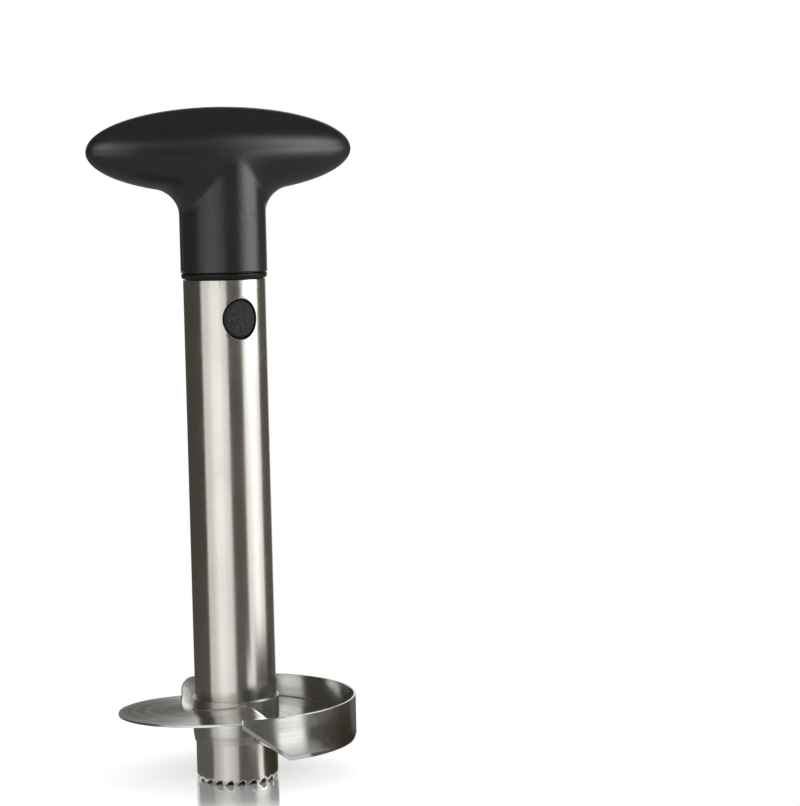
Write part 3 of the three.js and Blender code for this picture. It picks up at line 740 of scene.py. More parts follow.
def disc_foot(angle):
    """The blade's underside climbs by one pitch in a whole turn."""
    return DISC_LEVEL - DISC_SHEET / 2 + DISC_PITCH * (angle - DISC_START) / math.tau


def disc_grid():
    """A rounded rectangle carried along the screw, its upper half lowered where the edge is ground. The
    columns crowd near the leading edge, as a power of their share of the turn."""
    angles = DISC_START + DISC_TURN * np.linspace(0, 1, DISC_COLUMNS) ** DISC_CROWDING
    ground = np.clip((angles - DISC_START) / DISC_BEVEL, 0, 1)
    thick = GROUND_SHEET + (DISC_SHEET - GROUND_SHEET) * ground
    edge = GROUND_SHEET / 3
    lower = rounded(
        [[DISC_INNER, edge], [DISC_INNER, 0], [DISC_OUTER, 0], [DISC_OUTER, edge]], [0, edge, edge, 0],
    )
    upper = rounded(
        [[DISC_OUTER, -edge], [DISC_OUTER, 0], [DISC_INNER, 0], [DISC_INNER, -edge]], [0, edge, edge, 0],
    )
    foot = disc_foot(angles)[:, None]
    levels = np.concatenate([foot + lower[None, :, 1], foot + thick[:, None] + upper[None, :, 1]], axis=1)
    radii = np.concatenate([lower[:, 0], upper[:, 0]])
    return capped(ring_point(radii[None, :], angles[:, None], levels))


def on_disc_bevel(centres, normals):
    """Upper faces within the bevel's few degrees of the leading edge."""
    angles = np.arctan2(centres[:, 0], -centres[:, 1]) % math.tau
    return (normals[:, 2] > DISC_FLATNESS) & (angles < DISC_START + DISC_BEVEL)


disc = add_piece("spiral_blade", [(disc_grid(), True)], "slicer", ["helical_blade"])
mark_ground(disc, on_disc_bevel)

# %% [markdown]
# The sleeve is a thin ring that slips over the tube and carries the blade. Its lower end is tapered to
# a thin edge, so that it doesn't stop what is pushed up along the tube.

# %% Hub sleeve
HUB_BORE = 0.0152
HUB_RADIUS = 0.0158
HUB_FOOT = 0.0148
HUB_TAPER = 0.003
HUB_TOP = 0.03055
HUB_STEPS = 180

hub_outline = rounded(
    [
        [HUB_BORE, HUB_FOOT], [HUB_BORE + GROUND_SHEET, HUB_FOOT], [HUB_RADIUS, HUB_FOOT + HUB_TAPER],
        [HUB_RADIUS, HUB_TOP], [HUB_BORE, HUB_TOP],
    ],
    [SHEET_EDGE / 2, SHEET_EDGE / 2, HUB_TAPER, SHEET_EDGE, SHEET_EDGE / 2],
)
hub = add_piece("hub_sleeve", [turned(closed(hub_outline), HUB_STEPS)], "slicer", ["blade_hub"])

# %% [markdown]
# The blade is welded to the sleeve on one side and to the wall on the other, and the sleeve is welded
# to the tube. A weld bead is a low ridge of small overlapping scales, so here it is a thin tube along
# the joint whose size swells and sinks at every scale.

# %% Weld beads
BEAD_SCALE = 0.0011
BEAD_RIPPLE_SHARE = 0.1
BEAD_WIDTH = 0.00034
BEAD_HEIGHT = 0.0008
BEAD_STEPS = 720
BEAD_SIDES = 14
BEAD_END_SHARE = 0.02
JOINT_INSET = math.radians(1.5)


def bead(radius, angles, level, width, height, size):
    """An oval section at one radius, carried along the angles at the given levels: out by the width
    times the side's cosine and up by the height times its sine, both times the size."""
    side = np.linspace(0, math.tau, BEAD_SIDES, endpoint=False)[None, :]
    out, up = width * size * np.cos(side), height * size * np.sin(side)
    return ring_point(radius + out, angles, level + up)


def blade_bead(radius, end):
    """A bead along the blade's middle whose size is one plus a small wave every scale, and falls with
    the root of the distance to its ends."""
    start = DISC_START + JOINT_INSET
    angles = np.linspace(start, end, BEAD_STEPS)[:, None]
    wave = 1 + BEAD_RIPPLE_SHARE * np.sin(angles * radius / BEAD_SCALE * math.tau)
    from_end = np.minimum(angles - start, end - angles) * radius / BEAD_HEIGHT
    size = wave * np.sqrt(np.clip(from_end, BEAD_END_SHARE, 1))
    return capped(bead(radius, angles, disc_foot(angles) + DISC_SHEET / 2, BEAD_WIDTH, BEAD_HEIGHT, size))


def ring_bead(level, height):
    """A bead that closes on itself over the gap between sleeve and tube. Its size is one plus a small
    wave that fits round it a whole number of times."""
    angles = np.linspace(0, math.tau, BEAD_STEPS)[:, None]
    radius = (TUBE_RADIUS + HUB_RADIUS) / 2
    waves = round(math.tau * radius / BEAD_SCALE)
    size = 1 + BEAD_RIPPLE_SHARE * np.sin(angles * waves)
    return bead(radius, angles, level, (HUB_RADIUS - TUBE_RADIUS) / 2, height, size)


hub_path = blade_bead((HUB_RADIUS + DISC_INNER) / 2, DISC_START + DISC_TURN - JOINT_INSET)
wall_path = blade_bead((DISC_OUTER + WALL_BORE) / 2, WALL_END - WALL_CORNER / WALL_RADIUS)
sleeve_path = ring_bead(HUB_TOP - BEAD_WIDTH, BEAD_WIDTH)
hub_weld = add_piece("hub_weld", [(hub_path, True)], "slicer")
wall_weld = add_piece("wall_weld", [(wall_path, True)], "slicer")
sleeve_weld = add_piece("sleeve_weld", [(sleeve_path, True)], "slicer")

# %% [markdown]
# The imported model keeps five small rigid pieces: the plug with its flange, its end cap, two screws and
# the cross pin. Their meshes are loose triangles, which would shade as facets, and they may not be
# edited. A small modifier joins the triangles for the picture only and keeps every corner above the
# given angle crisp.

# %% Smooth shading for the carried-over pieces
CREASE_ANGLE = math.radians(32)
MERGE_DISTANCE = 1e-6
KEPT_NODES = ["plug_core", "plug_end_cap", "cap_screw_left", "cap_screw_right", "grip_pin"]


def set_inputs(tree, node, values):
    """Each input is given a number, a colour or another node's output."""
    for name, value in values.items():
        if isinstance(value, bpy.types.NodeSocket):
            tree.links.new(value, node.inputs[name])
        else:
            node.inputs[name].default_value = value


def add_node(tree, kind, inputs=None, **settings):
    """A node with its settings and inputs."""
    node = tree.nodes.new(kind)
    for name, value in settings.items():
        setattr(node, name, value)
    set_inputs(tree, node, inputs or {})
    return node


def crease_shading():
    """Triangles joined, then shaded smoothly but for the edges that are sharper than the angle."""
    tree = bpy.data.node_groups.new("crease_shading", "GeometryNodeTree")
    for side in ("INPUT", "OUTPUT"):
        tree.interface.new_socket("Geometry", in_out=side, socket_type="NodeSocketGeometry")
    shape = add_node(tree, "NodeGroupInput").outputs[0]
    merge = {"Geometry": shape, "Distance": MERGE_DISTANCE}
    shape = add_node(tree, "GeometryNodeMergeByDistance", merge).outputs[0]
    smooth = {0: shape, "Shade Smooth": True}
    shape = add_node(tree, "GeometryNodeSetShadeSmooth", smooth, domain="FACE").outputs[0]
    angle = add_node(tree, "GeometryNodeInputMeshEdgeAngle").outputs["Unsigned Angle"]
    limit = {"A": angle, "B": CREASE_ANGLE}
    sharp = add_node(tree, "FunctionNodeCompare", limit, operation="GREATER_THAN").outputs[0]
    crease = {0: shape, "Selection": sharp, "Shade Smooth": False}
    shape = add_node(tree, "GeometryNodeSetShadeSmooth", crease, domain="EDGE").outputs[0]
    add_node(tree, "NodeGroupOutput", {0: shape})
    return tree


shading = crease_shading()
kept = {name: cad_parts[name] for name in KEPT_NODES}
for piece in kept.values():
    piece.modifiers.new("crease_shading", "NODES").node_group = shading
print("Kept from the packed model:", ", ".join(kept))

# %% [markdown]
# Flat and gently curved faces meet here over very small roundings. Smooth shading alone would spread
# each rounding over the faces beside it, so large faces are given more weight.

# %% Crisp roundings
CRISP_PIECES = (wall, disc, hub, tube, button_front, button_rear, grip_front, grip_rear)

for piece in CRISP_PIECES:
    piece.modifiers.new("flat_faces", "WEIGHTED_NORMAL").keep_sharp = False
print("Crisp roundings on", len(CRISP_PIECES), "pieces")

# %% [markdown]
# Materials are built from nodes. These helpers keep the long chains short: one for a sum, one for a
# value read on a new scale, and one for a group with named inputs and outputs.

# %% Node helpers
FLOAT, VECTOR = "NodeSocketFloat", "NodeSocketVector"


def calc(tree, operation, *values):
    node = add_node(tree, "ShaderNodeMath", dict(enumerate(values)), operation=operation)
    return node.outputs[0]


def product(tree, value, *others):
    for other in others:
        value = calc(tree, "MULTIPLY", value, other)
    return value


def rescale(tree, value, low, high, start=0.0, end=1.0, kind="SMOOTHSTEP"):
    """The value's place between low and high, read between start and end and held at both."""
    inputs = {"Value": value, "From Min": low, "From Max": high, "To Min": start, "To Max": end}
    return add_node(tree, "ShaderNodeMapRange", inputs, interpolation_type=kind).outputs["Result"]


def mix_colours(tree, share, first, second):
    node = add_node(tree, "ShaderNodeMix", {0: share, 6: first, 7: second}, data_type="RGBA")
    return node.outputs[2]


def mix_values(tree, share, first, second):
    node = add_node(tree, "ShaderNodeMix", {0: share, 2: first, 3: second}, data_type="FLOAT")
    return node.outputs[0]


def scaled_place(tree, place, scale):
    node = add_node(tree, "ShaderNodeVectorMath", {0: place, 1: scale}, operation="MULTIPLY")
    return node.outputs[0]


def distance_of(tree, place):
    return add_node(tree, "ShaderNodeVectorMath", {0: place}, operation="LENGTH").outputs["Value"]


def level_of(tree, place):
    return add_node(tree, "ShaderNodeSeparateXYZ", {0: place}).outputs["Z"]


def noise(tree, place, scale, detail=2.0, roughness=0.5):
    inputs = {"Vector": place, "Scale": scale, "Detail": detail, "Roughness": roughness}
    return add_node(tree, "ShaderNodeTexNoise", inputs).outputs["Fac"]


def scaled_noise(tree, place, scale, share, detail, roughness):
    """Noise whose scale is a share of the given one."""
    return noise(tree, place, calc(tree, "MULTIPLY", scale, share), detail, roughness)


def new_group(name, numbers, outputs):
    """A named effect with a place and titled numbers going in and titled kinds of value coming out."""
    tree = bpy.data.node_groups.new(name, "ShaderNodeTree")
    tree.interface.new_socket("Place", in_out="INPUT", socket_type=VECTOR)
    for title, default in numbers.items():
        tree.interface.new_socket(title, in_out="INPUT", socket_type=FLOAT).default_value = default
    for title, kind in outputs.items():
        tree.interface.new_socket(title, in_out="OUTPUT", socket_type=kind)
    return tree, add_node(tree, "NodeGroupInput").outputs


def finish_group(tree, results):
    add_node(tree, "NodeGroupOutput", results)
    print("Node group:", tree.name)
    return tree


def use_group(tree, group, inputs):
    return add_node(tree, "ShaderNodeGroup", inputs, node_tree=group).outputs


def object_place(tree):
    return add_node(tree, "ShaderNodeTexCoord").outputs["Object"]


# %% [markdown]
# Places round the tube's axis: most finishes on this tool run along the tube or round it, so one group
# turns an object place into the direction from the axis, the distance from it and the level.

# %% Group: place round the axis
FLAT = (1.0, 1.0, 0.0)


def make_axis_place():
    outputs = {"Direction": VECTOR, "Distance": FLOAT, "Level": FLOAT}
    tree, given = new_group("place_round_axis", {}, outputs)
    flat = scaled_place(tree, given["Place"], FLAT)
    direction = add_node(tree, "ShaderNodeVectorMath", {0: flat}, operation="NORMALIZE").outputs[0]
    distance, level = distance_of(tree, flat), level_of(tree, given["Place"])
    return finish_group(tree, {"Direction": direction, "Distance": distance, "Level": level})


axis_place = make_axis_place()

# %% [markdown]
# Polished steel keeps fine lines in the direction of the last belt. Lines are noise stretched along
# that direction: a coarse set that comes and goes in patches, and a fine set that is everywhere. Each
# noise in the groups below is given as (share of the group's number, detail, roughness).

# %% Group: polishing lines
FINE_LINES = (1.0, 2.0, 0.6)
COARSE_LINES = (0.16, 3.0, 0.6)
LINE_PATCHES = (0.035, 2.0, 0.5)
FINE_HEIGHT = 0.12
PATCH_EDGES = (0.35, 0.65)


def make_polishing_lines():
    outputs = {"Height": FLOAT, "Patches": FLOAT}
    tree, given = new_group("polishing_lines", {"Lines per metre": 9000.0}, outputs)
    place, lines = given["Place"], given["Lines per metre"]
    fine, coarse, patches = [
        scaled_noise(tree, place, lines, *kind) for kind in (FINE_LINES, COARSE_LINES, LINE_PATCHES)
    ]
    height = calc(tree, "ADD", calc(tree, "MULTIPLY", fine, FINE_HEIGHT), coarse)
    return finish_group(tree, {"Height": height, "Patches": rescale(tree, patches, *PATCH_EDGES)})


polishing_lines = make_polishing_lines()

# %% [markdown]
# Moulded black plastic is sparked with a very fine grain in the mould, which breaks up its highlight.
# Small cells give the pits and a finer noise roughens their floors.

# %% Group: moulded grain
CELL_SMOOTHNESS = 0.6
PIT_FLOORS = (1.7, 2.0, 0.6)
CELL_HEIGHT, PIT_HEIGHT = 0.6, 0.5
SPECKLE_EDGES = (0.4, 0.7)


def make_moulded_grain():
    outputs = {"Height": FLOAT, "Speckle": FLOAT}
    tree, given = new_group("moulded_grain", {"Grains per metre": 3000.0}, outputs)
    place, grains = given["Place"], given["Grains per metre"]
    inputs = {"Vector": place, "Scale": grains, "Smoothness": CELL_SMOOTHNESS}
    cells = add_node(tree, "ShaderNodeTexVoronoi", inputs, feature="SMOOTH_F1").outputs["Distance"]
    pits = scaled_noise(tree, place, grains, *PIT_FLOORS)
    cell_height, pit_height = product(tree, cells, CELL_HEIGHT), product(tree, pits, PIT_HEIGHT)
    height = calc(tree, "ADD", cell_height, pit_height)
    return finish_group(tree, {"Height": height, "Speckle": rescale(tree, pits, *SPECKLE_EDGES)})


moulded_grain = make_moulded_grain()

# %% [markdown]
# A used tool is never evenly clean. Hands and cloths leave dull, soft-edged patches with a finer
# broken pattern inside, and they change only how sharp the gloss is.

# %% Group: handling marks
BROAD_PATCHES = (1.0, 3.0, 0.55)
BROAD_EDGES = (0.42, 0.66)
BROKEN_PATCHES = (9.0, 3.0, 0.6)
BROKEN_EDGES = (0.35, 0.7)
BROKEN_SHARE = 0.5


def make_handling_marks():
    tree, given = new_group("handling_marks", {"Patches per metre": 40.0}, {"Smudge": FLOAT})
    place, patches = given["Place"], given["Patches per metre"]
    broad = rescale(tree, scaled_noise(tree, place, patches, *BROAD_PATCHES), *BROAD_EDGES)
    broken = rescale(tree, scaled_noise(tree, place, patches, *BROKEN_PATCHES), *BROKEN_EDGES)
    smudge = calc(tree, "MULTIPLY", broad, mix_values(tree, BROKEN_SHARE, 1.0, broken))
    return finish_group(tree, {"Smudge": smudge})


handling_marks = make_handling_marks()

# %% [markdown]
# Edges are touched most, so they shine where the plastic is rubbed. Their colour is also made lighter on
# every sharp edge, plastic and steel alike: partly wear, partly a painted edge highlight. The mesh is fine
# enough at its roundings for Blender's own measure of pointedness.

# %% Group: worn and highlit edges
WEAR_START, WEAR_FULL = 0.53, 0.62
WEAR_NOISE = (900.0, 3.0, 0.6)
WEAR_EDGES = (0.3, 0.6)


def make_worn_edges():
    tree, given = new_group("worn_and_highlit_edges", {"Start": WEAR_START, "Full": WEAR_FULL}, {"Wear and highlight": FLOAT})
    pointed = add_node(tree, "ShaderNodeNewGeometry").outputs["Pointiness"]
    # Sharp edges by pointedness: where they are worn and where a painted edge highlight goes.
    edge = rescale(tree, pointed, given["Start"], given["Full"])
    broken = rescale(tree, noise(tree, given["Place"], *WEAR_NOISE), *WEAR_EDGES)
    return finish_group(tree, {"Wear and highlight": calc(tree, "MULTIPLY", edge, broken)})


worn_and_highlit_edges = make_worn_edges()

# %% [markdown]
# Black plastic: a nearly black colour under a satin skin. Its look comes from how the highlight breaks up,
# so grain goes to the bump, smudges to the roughness, and wear only lifts both a little. The paler specks
# and the lighter edges, partly wear and partly a painted edge highlight, are made from the plastic's own
# colour.

# %% Plastic finishes
HAND_PATCHES = 45.0
SPECK_GAIN, SPECK_LIFT = 1.9, 0.006
EDGE_WEAR_AND_HIGHLIGHT_GAIN, EDGE_WEAR_AND_HIGHLIGHT_SHARE = 3.5, 0.25
SMUDGE_ROUGHENS = 0.09
WEAR_SMOOTHS = 0.1
GRAIN_STRENGTH = 0.8
EVEN_BLEND = 0.5


def new_material(name):
    material = bpy.data.materials.new(name)
    material.use_nodes = True
    print("Material:", name)
    return material, material.node_tree, material.node_tree.nodes["Principled BSDF"]


def facing_share(tree):
    """Zero where a surface is seen straight on, one where the look only grazes it."""
    return add_node(tree, "ShaderNodeLayerWeight", {"Blend": EVEN_BLEND}).outputs["Facing"]


def bump(tree, height, distance, strength=1.0):
    inputs = {"Height": height, "Distance": distance, "Strength": strength}
    return add_node(tree, "ShaderNodeBump", inputs).outputs["Normal"]


def plastic(name, colour, roughness, grains, depth, speckle=0.35, shine=0.6):
    material, tree, shader = new_material(name)
    place = object_place(tree)
    grain = use_group(tree, moulded_grain, {"Place": place, "Grains per metre": grains})
    marks = use_group(tree, handling_marks, {"Place": place, "Patches per metre": HAND_PATCHES})
    wear_and_highlight = use_group(tree, worn_and_highlit_edges, {"Place": place})["Wear and highlight"]
    pale = [SPECK_GAIN * part + SPECK_LIFT for part in colour]
    # Sharp edges turn lighter: partly wear, partly a painted edge highlight.
    rubbed_and_highlit = [EDGE_WEAR_AND_HIGHLIGHT_GAIN * part for part in colour]
    specks, rub_and_highlight_share = product(tree, grain["Speckle"], speckle), product(tree, wear_and_highlight, EDGE_WEAR_AND_HIGHLIGHT_SHARE)
    body = mix_colours(tree, specks, (*colour, 1), (*pale, 1))
    body = mix_colours(tree, rub_and_highlight_share, body, (*rubbed_and_highlit, 1))
    rough = mix_values(tree, marks["Smudge"], roughness, roughness + SMUDGE_ROUGHENS)
    rough = calc(tree, "SUBTRACT", rough, product(tree, wear_and_highlight, WEAR_SMOOTHS))
    set_inputs(tree, shader, {
        "Base Color": body, "Roughness": rough, "Specular IOR Level": shine,
        "Normal": bump(tree, grain["Height"], depth, GRAIN_STRENGTH),
    })
    return material


GRIP_COLOUR = (0.0125, 0.0123, 0.0117)
PLUG_COLOUR = (0.008, 0.008, 0.0076)
BUTTON_COLOUR = (0.0132, 0.0132, 0.0122)
grip_plastic = plastic("grip_satin_black", GRIP_COLOUR, roughness=0.26, grains=2200.0, depth=5e-5)
plug_plastic = plastic(
    "plug_smooth_black", PLUG_COLOUR, roughness=0.3, grains=4200.0, depth=8e-6, shine=0.3,
)
button_plastic = plastic(
    "button_textured_black", BUTTON_COLOUR, roughness=0.42, grains=1100.0, depth=0.0012,
    speckle=1.0, shine=0.45,
)

# %% [markdown]
# Stainless steel: a metal with a faintly warm colour, sharp enough to mirror the studio in strips and
# drawn out by its polishing lines. On the tube the lines run along it. On the blade, wall and sleeve
# they run round the axis, because those pieces were polished as they turned.

# %% Steel finishes
ALONG_AXIS = (1.0, 1.0, 0.008)
ROUND_AXIS = (0.0006, 0.0006, 0.0)
STEEL_PATCHES = 30.0
DULL_GAIN = 0.86
# The paler steel of sharp edges: partly wear, partly a painted edge highlight.
WORN_AND_HIGHLIT_STEEL, WORN_AND_HIGHLIT_STEEL_SHARE = (0.85, 0.85, 0.84, 1), 0.5
PATCH_ROUGHENS = 0.05
SMUDGE_DULLS = 0.06
GROUND_STEEL, GROUND_ROUGHNESS = (0.8, 0.8, 0.79, 1), 0.12
GROUND_STRETCH = (1.0, 1.0, 0.02)
GROUND_NOISE = (14000.0, 2.0, 0.5)


def lines_along_axis(tree, place):
    """x and y as they are and z nearly still, so the noise hardly changes along the tube."""
    return scaled_place(tree, place, ALONG_AXIS)


def lines_round_axis(tree, place):
    """Distance plus level changes fast and the direction slowly, so the noise runs round the axis."""
    found = use_group(tree, axis_place, {"Place": place})
    slow = scaled_place(tree, found["Direction"], ROUND_AXIS)
    fast = calc(tree, "ADD", found["Distance"], found["Level"])
    fast = add_node(tree, "ShaderNodeCombineXYZ", {"Z": fast}).outputs[0]
    return add_node(tree, "ShaderNodeVectorMath", {0: slow, 1: fast}, operation="ADD").outputs[0]


def steel(name, colour, line_place, roughness, lines, depth, ground=False):
    material, tree, shader = new_material(name)
    place = object_place(tree)
    inputs = {"Place": line_place(tree, place), "Lines per metre": lines}
    polish = use_group(tree, polishing_lines, inputs)
    marks = use_group(tree, handling_marks, {"Place": place, "Patches per metre": STEEL_PATCHES})
    wear_and_highlight = use_group(tree, worn_and_highlit_edges, {"Place": place})["Wear and highlight"]
    dull = [DULL_GAIN * part for part in colour]
    body = mix_colours(tree, polish["Patches"], (*colour, 1), (*dull, 1))
    # Sharp edges turn a paler steel: partly wear, partly a painted edge highlight.
    body = mix_colours(tree, product(tree, wear_and_highlight, WORN_AND_HIGHLIT_STEEL_SHARE), body, WORN_AND_HIGHLIT_STEEL)
    rough = mix_values(tree, polish["Patches"], roughness, roughness + PATCH_ROUGHENS)
    rough = calc(tree, "ADD", rough, product(tree, marks["Smudge"], SMUDGE_DULLS))
    height = polish["Height"]
    if ground:
        cut = add_node(tree, "ShaderNodeAttribute", attribute_name="ground").outputs["Fac"]
        body = mix_colours(tree, cut, body, GROUND_STEEL)
        rough = mix_values(tree, cut, rough, GROUND_ROUGHNESS)
        across = noise(tree, scaled_place(tree, place, GROUND_STRETCH), *GROUND_NOISE)
        height = mix_values(tree, cut, height, across)
    set_inputs(tree, shader, {
        "Base Color": body, "Metallic": 1.0, "Roughness": rough, "Normal": bump(tree, height, depth),
    })
    return material


TUBE_COLOUR = (0.68, 0.663, 0.62)
SLEEVE_COLOUR = (0.66, 0.65, 0.62)
BLADE_COLOUR = (0.68, 0.68, 0.66)
WIRE_COLOUR = (0.4, 0.39, 0.38)
SCREW_COLOUR = (0.52, 0.52, 0.51)
tube_steel = steel(
    "tube_satin_steel", TUBE_COLOUR, lines_along_axis, roughness=0.14, lines=7000.0, depth=1e-5,
)
sleeve_steel = steel(
    "sleeve_satin_steel", SLEEVE_COLOUR, lines_round_axis, roughness=0.2, lines=7000.0, depth=3e-6,
)
blade_steel = steel(
    "blade_bright_steel", BLADE_COLOUR, lines_round_axis, roughness=0.14, lines=9000.0, depth=2e-6,
    ground=True,
)
spring_steel = steel(
    "spring_drawn_wire", WIRE_COLOUR, lines_along_axis, roughness=0.25, lines=12000.0, depth=2e-6,
)
screw_steel = steel(
    "screw_plain_steel", SCREW_COLOUR, lines_round_axis, roughness=0.28, lines=12000.0, depth=3e-6,
)

# %% [markdown]
# Heat leaves its mark beside a weld: the bead itself is dull and slightly straw-coloured.

# %% Weld finish
BEAD_GREY, BEAD_STRAW = (0.56, 0.54, 0.5, 1), (0.42, 0.36, 0.27, 1)
HEAT_NOISE = (260.0, 3.0, 0.6)
BEAD_PATCHES = 400.0
BEAD_ROUGHNESS = (0.28, 0.42)
BEAD_NOISE, BEAD_DEPTH = (5000.0, 3.0, 0.6), 0.00001


def weld_bead(name):
    material, tree, shader = new_material(name)
    place = object_place(tree)
    heat = rescale(tree, noise(tree, place, *HEAT_NOISE), *PATCH_EDGES)
    marks = use_group(tree, handling_marks, {"Place": place, "Patches per metre": BEAD_PATCHES})
    set_inputs(tree, shader, {
        "Base Color": mix_colours(tree, heat, BEAD_GREY, BEAD_STRAW), "Metallic": 1.0,
        "Roughness": mix_values(tree, marks["Smudge"], *BEAD_ROUGHNESS),
        "Normal": bump(tree, noise(tree, place, *BEAD_NOISE), BEAD_DEPTH),
    })
    return material


weld_steel = weld_bead("weld_scaled_steel")

# %% [markdown]
# Each material goes on its pieces, the five that are carried over among them. A material is one
# continuous finish in object space, so no piece needs an unwrapped picture.

# %% Materials on their pieces
FINISHES = {
    grip_plastic: [grip_front, grip_rear, seam_weld],
    plug_plastic: [kept["plug_core"], kept["plug_end_cap"]],
    button_plastic: [button_front, button_rear],
    tube_steel: [tube],
    sleeve_steel: [hub],
    blade_steel: [wall, disc],
    weld_steel: [hub_weld, wall_weld, sleeve_weld],
    spring_steel: [spring_front, spring_rear],
    screw_steel: [kept["cap_screw_left"], kept["cap_screw_right"], kept["grip_pin"]],
}
for material, pieces in FINISHES.items():
    for piece in pieces:
        piece.data.materials.clear()
        piece.data.materials.append(material)
print(len(FINISHES), "materials in use")

# %% [markdown]
# The studio is white and bright, but polished steel would look like white paper if it had only white
# to mirror. So a surround that only mirror rays can see stands round the object. It is dark, with two
# bright windows where the photograph's highlights say that the soft lamps stood. Real lamps would need
# many tries to fall in the right place, while a pattern in degrees round the axis is placed directly:
# a round tube shows each direction at half its angle. Degrees are counted from the picture's side.

# %% Studio pattern
LEFT_WINDOW = (-70, 4)
RIGHT_WINDOW = (45, 101)
BACK_GAP = (158, 181)
WINDOW_EDGE_DEGREES = 2.5
DARK_LEFT = 0.08
DARK_MIDDLE = 0.115
LEFT_MIDDLE, LEFT_HALF = -31, 34
LEFT_LIGHT = (0.94, 1.62)
RIGHT_MIDDLE, RIGHT_HALF = 67, 36
RIGHT_LIGHT = (1.1, 1.6)
WARMTH = (0.007, 0.018)


def emission(name):
    material = bpy.data.materials.new(name)
    material.use_nodes = True
    tree = material.node_tree
    tree.nodes.clear()
    return material, tree


def photo_parts(tree, place):
    """A place turned so that its x runs along the picture and its y away from the picture's side."""
    inputs = {"Vector": place, "Angle": -CAMERA_SIDE}
    turn = add_node(tree, "ShaderNodeVectorRotate", inputs, rotation_type="Z_AXIS").outputs[0]
    return add_node(tree, "ShaderNodeSeparateXYZ", {0: turn}).outputs


def photo_azimuth(tree, place):
    """Degrees round the axis from the picture's side, to its right, from -180 to 180."""
    parts = photo_parts(tree, place)
    angle = calc(tree, "ARCTAN2", parts["X"], calc(tree, "MULTIPLY", parts["Y"], -1.0))
    return calc(tree, "MULTIPLY", angle, math.degrees(1))


def window(tree, value, low, high, edge=WINDOW_EDGE_DEGREES):
    """One between low and high, with soft edges."""
    rising = rescale(tree, value, low - edge, low + edge)
    falling = rescale(tree, value, high - edge, high + edge, 1.0, 0.0)
    return calc(tree, "MULTIPLY", rising, falling)


def bulge(tree, value, middle, half):
    """One at the middle, falling softly to zero at half the width on both sides."""
    away = calc(tree, "ABSOLUTE", calc(tree, "SUBTRACT", value, middle))
    return rescale(tree, away, 0.0, half, 1.0, 0.0)


def studio_light(tree, azimuth, left_gain, right_gain, right_share):
    """How bright the studio is in each direction: dark, and two windows that are brightest in their
    middles, as a lamp behind a cloth is."""
    dark = mix_values(tree, window(tree, azimuth, 0, BACK_GAP[0]), DARK_LEFT, DARK_MIDDLE)
    left = mix_values(tree, bulge(tree, azimuth, LEFT_MIDDLE, LEFT_HALF), *LEFT_LIGHT)
    right = mix_values(tree, bulge(tree, azimuth, RIGHT_MIDDLE, RIGHT_HALF), *RIGHT_LIGHT)
    left_share = window(tree, azimuth, *LEFT_WINDOW)
    light = mix_values(tree, left_share, dark, calc(tree, "MULTIPLY", left, left_gain))
    share = calc(tree, "MULTIPLY", window(tree, azimuth, *RIGHT_WINDOW), right_share)
    return mix_values(tree, share, light, calc(tree, "MULTIPLY", right, right_gain))


def grey(tree, value):
    return add_node(tree, "ShaderNodeCombineColor", {0: value, 1: value, 2: value}).outputs[0]


def warm_glow(tree, value):
    """Light whose dark values turn brown and whose bright ones stay nearly white: a little is taken
    from its green and more from its blue."""
    parts = [calc(tree, "MAXIMUM", calc(tree, "SUBTRACT", value, less), 0.0) for less in WARMTH]
    colour = add_node(tree, "ShaderNodeCombineColor", {0: value, 1: parts[0], 2: parts[1]})
    return add_node(tree, "ShaderNodeEmission", {"Color": colour.outputs[0], "Strength": 1.0}).outputs[0]


print("Windows, degrees:", LEFT_WINDOW, RIGHT_WINDOW)

# %% [markdown]
# The surround is a tall round wall with a domed top. A surface that leans sees it at another level, so
# its levels light different pieces: the tube's top and the stem see it below 0.3 m, the grip's bar above
# that, and the floor's mirror image of the tube sees a band between. Each line below reads one of these
# levels or directions on a new scale, as (from, to, value at from, value at to).

# %% Surround that only mirror rays see
SURROUND_RADIUS = 1.6
SURROUND_HEIGHT = 2.4
SURROUND_ROUND = 0.5
SURROUND_STEPS = 8
STAGE_COLUMNS = 96

# The left window over the level: dimmer for the stem, brighter for the bar
LEFT_DIP = (0.115, 0.165, 1.0, 0.7)
LEFT_RISE = (0.24, 0.45, 1.0, 1.9)
# The right window over the level, and its extra light for the stem's right side
RIGHT_RISE = (0.09, 0.22, 1.0, 2.6, "LINEAR")
STEM_LEVELS = (0.13, 0.27, 0.02)
STEM_SIDE = (54, 70)
STEM_GAIN = 1.85
# The right window's inner part is dimmer for the bar, and its inner edge slants as the level rises
BAR_LEVELS = (0.3, 0.5)
BAR_SIDE = (52, 74, 0.6, 1.06)
SLANT_OUT = (0.13, 0.3, 0.0, 9.0)
SLANT_BACK = (0.38, 0.6, 0.0, 7.0)
SLANT_EDGE = 3
# The band that the floor's mirror image of the tube sees is dimmed in both windows
FLOOR_BAND = (0.32, 0.47, 0.03)
FLOOR_BAND_LEFT, FLOOR_BAND_RIGHT = 0.14, 0.05
# The windows' tops, higher at the left and at the right window's inner edge, and the dark above them
TOP_RIGHT = (52, 64, 1.15, 0.95)
TOP_LEFT = (-30, -5, 0.5, 0.0)
TOP_EDGE = 0.3
DARK_TOP = 0.07
# A weak fill between the windows, and a faint ceiling
FILL_SIDE = (18, 36)
FILL_LEVELS = (0.5, 1.1, 0.15)
FILL_LIGHT = 0.4
CEILING = (2.0, 2.3, 0.0, 0.05)
# White behind the object, for the tube's far edge and for the open floor's mirror image
GAP_TOP = (0.7, 0.9, 1.0, 0.0)
FAR_MIDDLE, FAR_START, FAR_END = 9, 151, 400
FAR_LEVELS = (0.28, 0.75, 0.06)


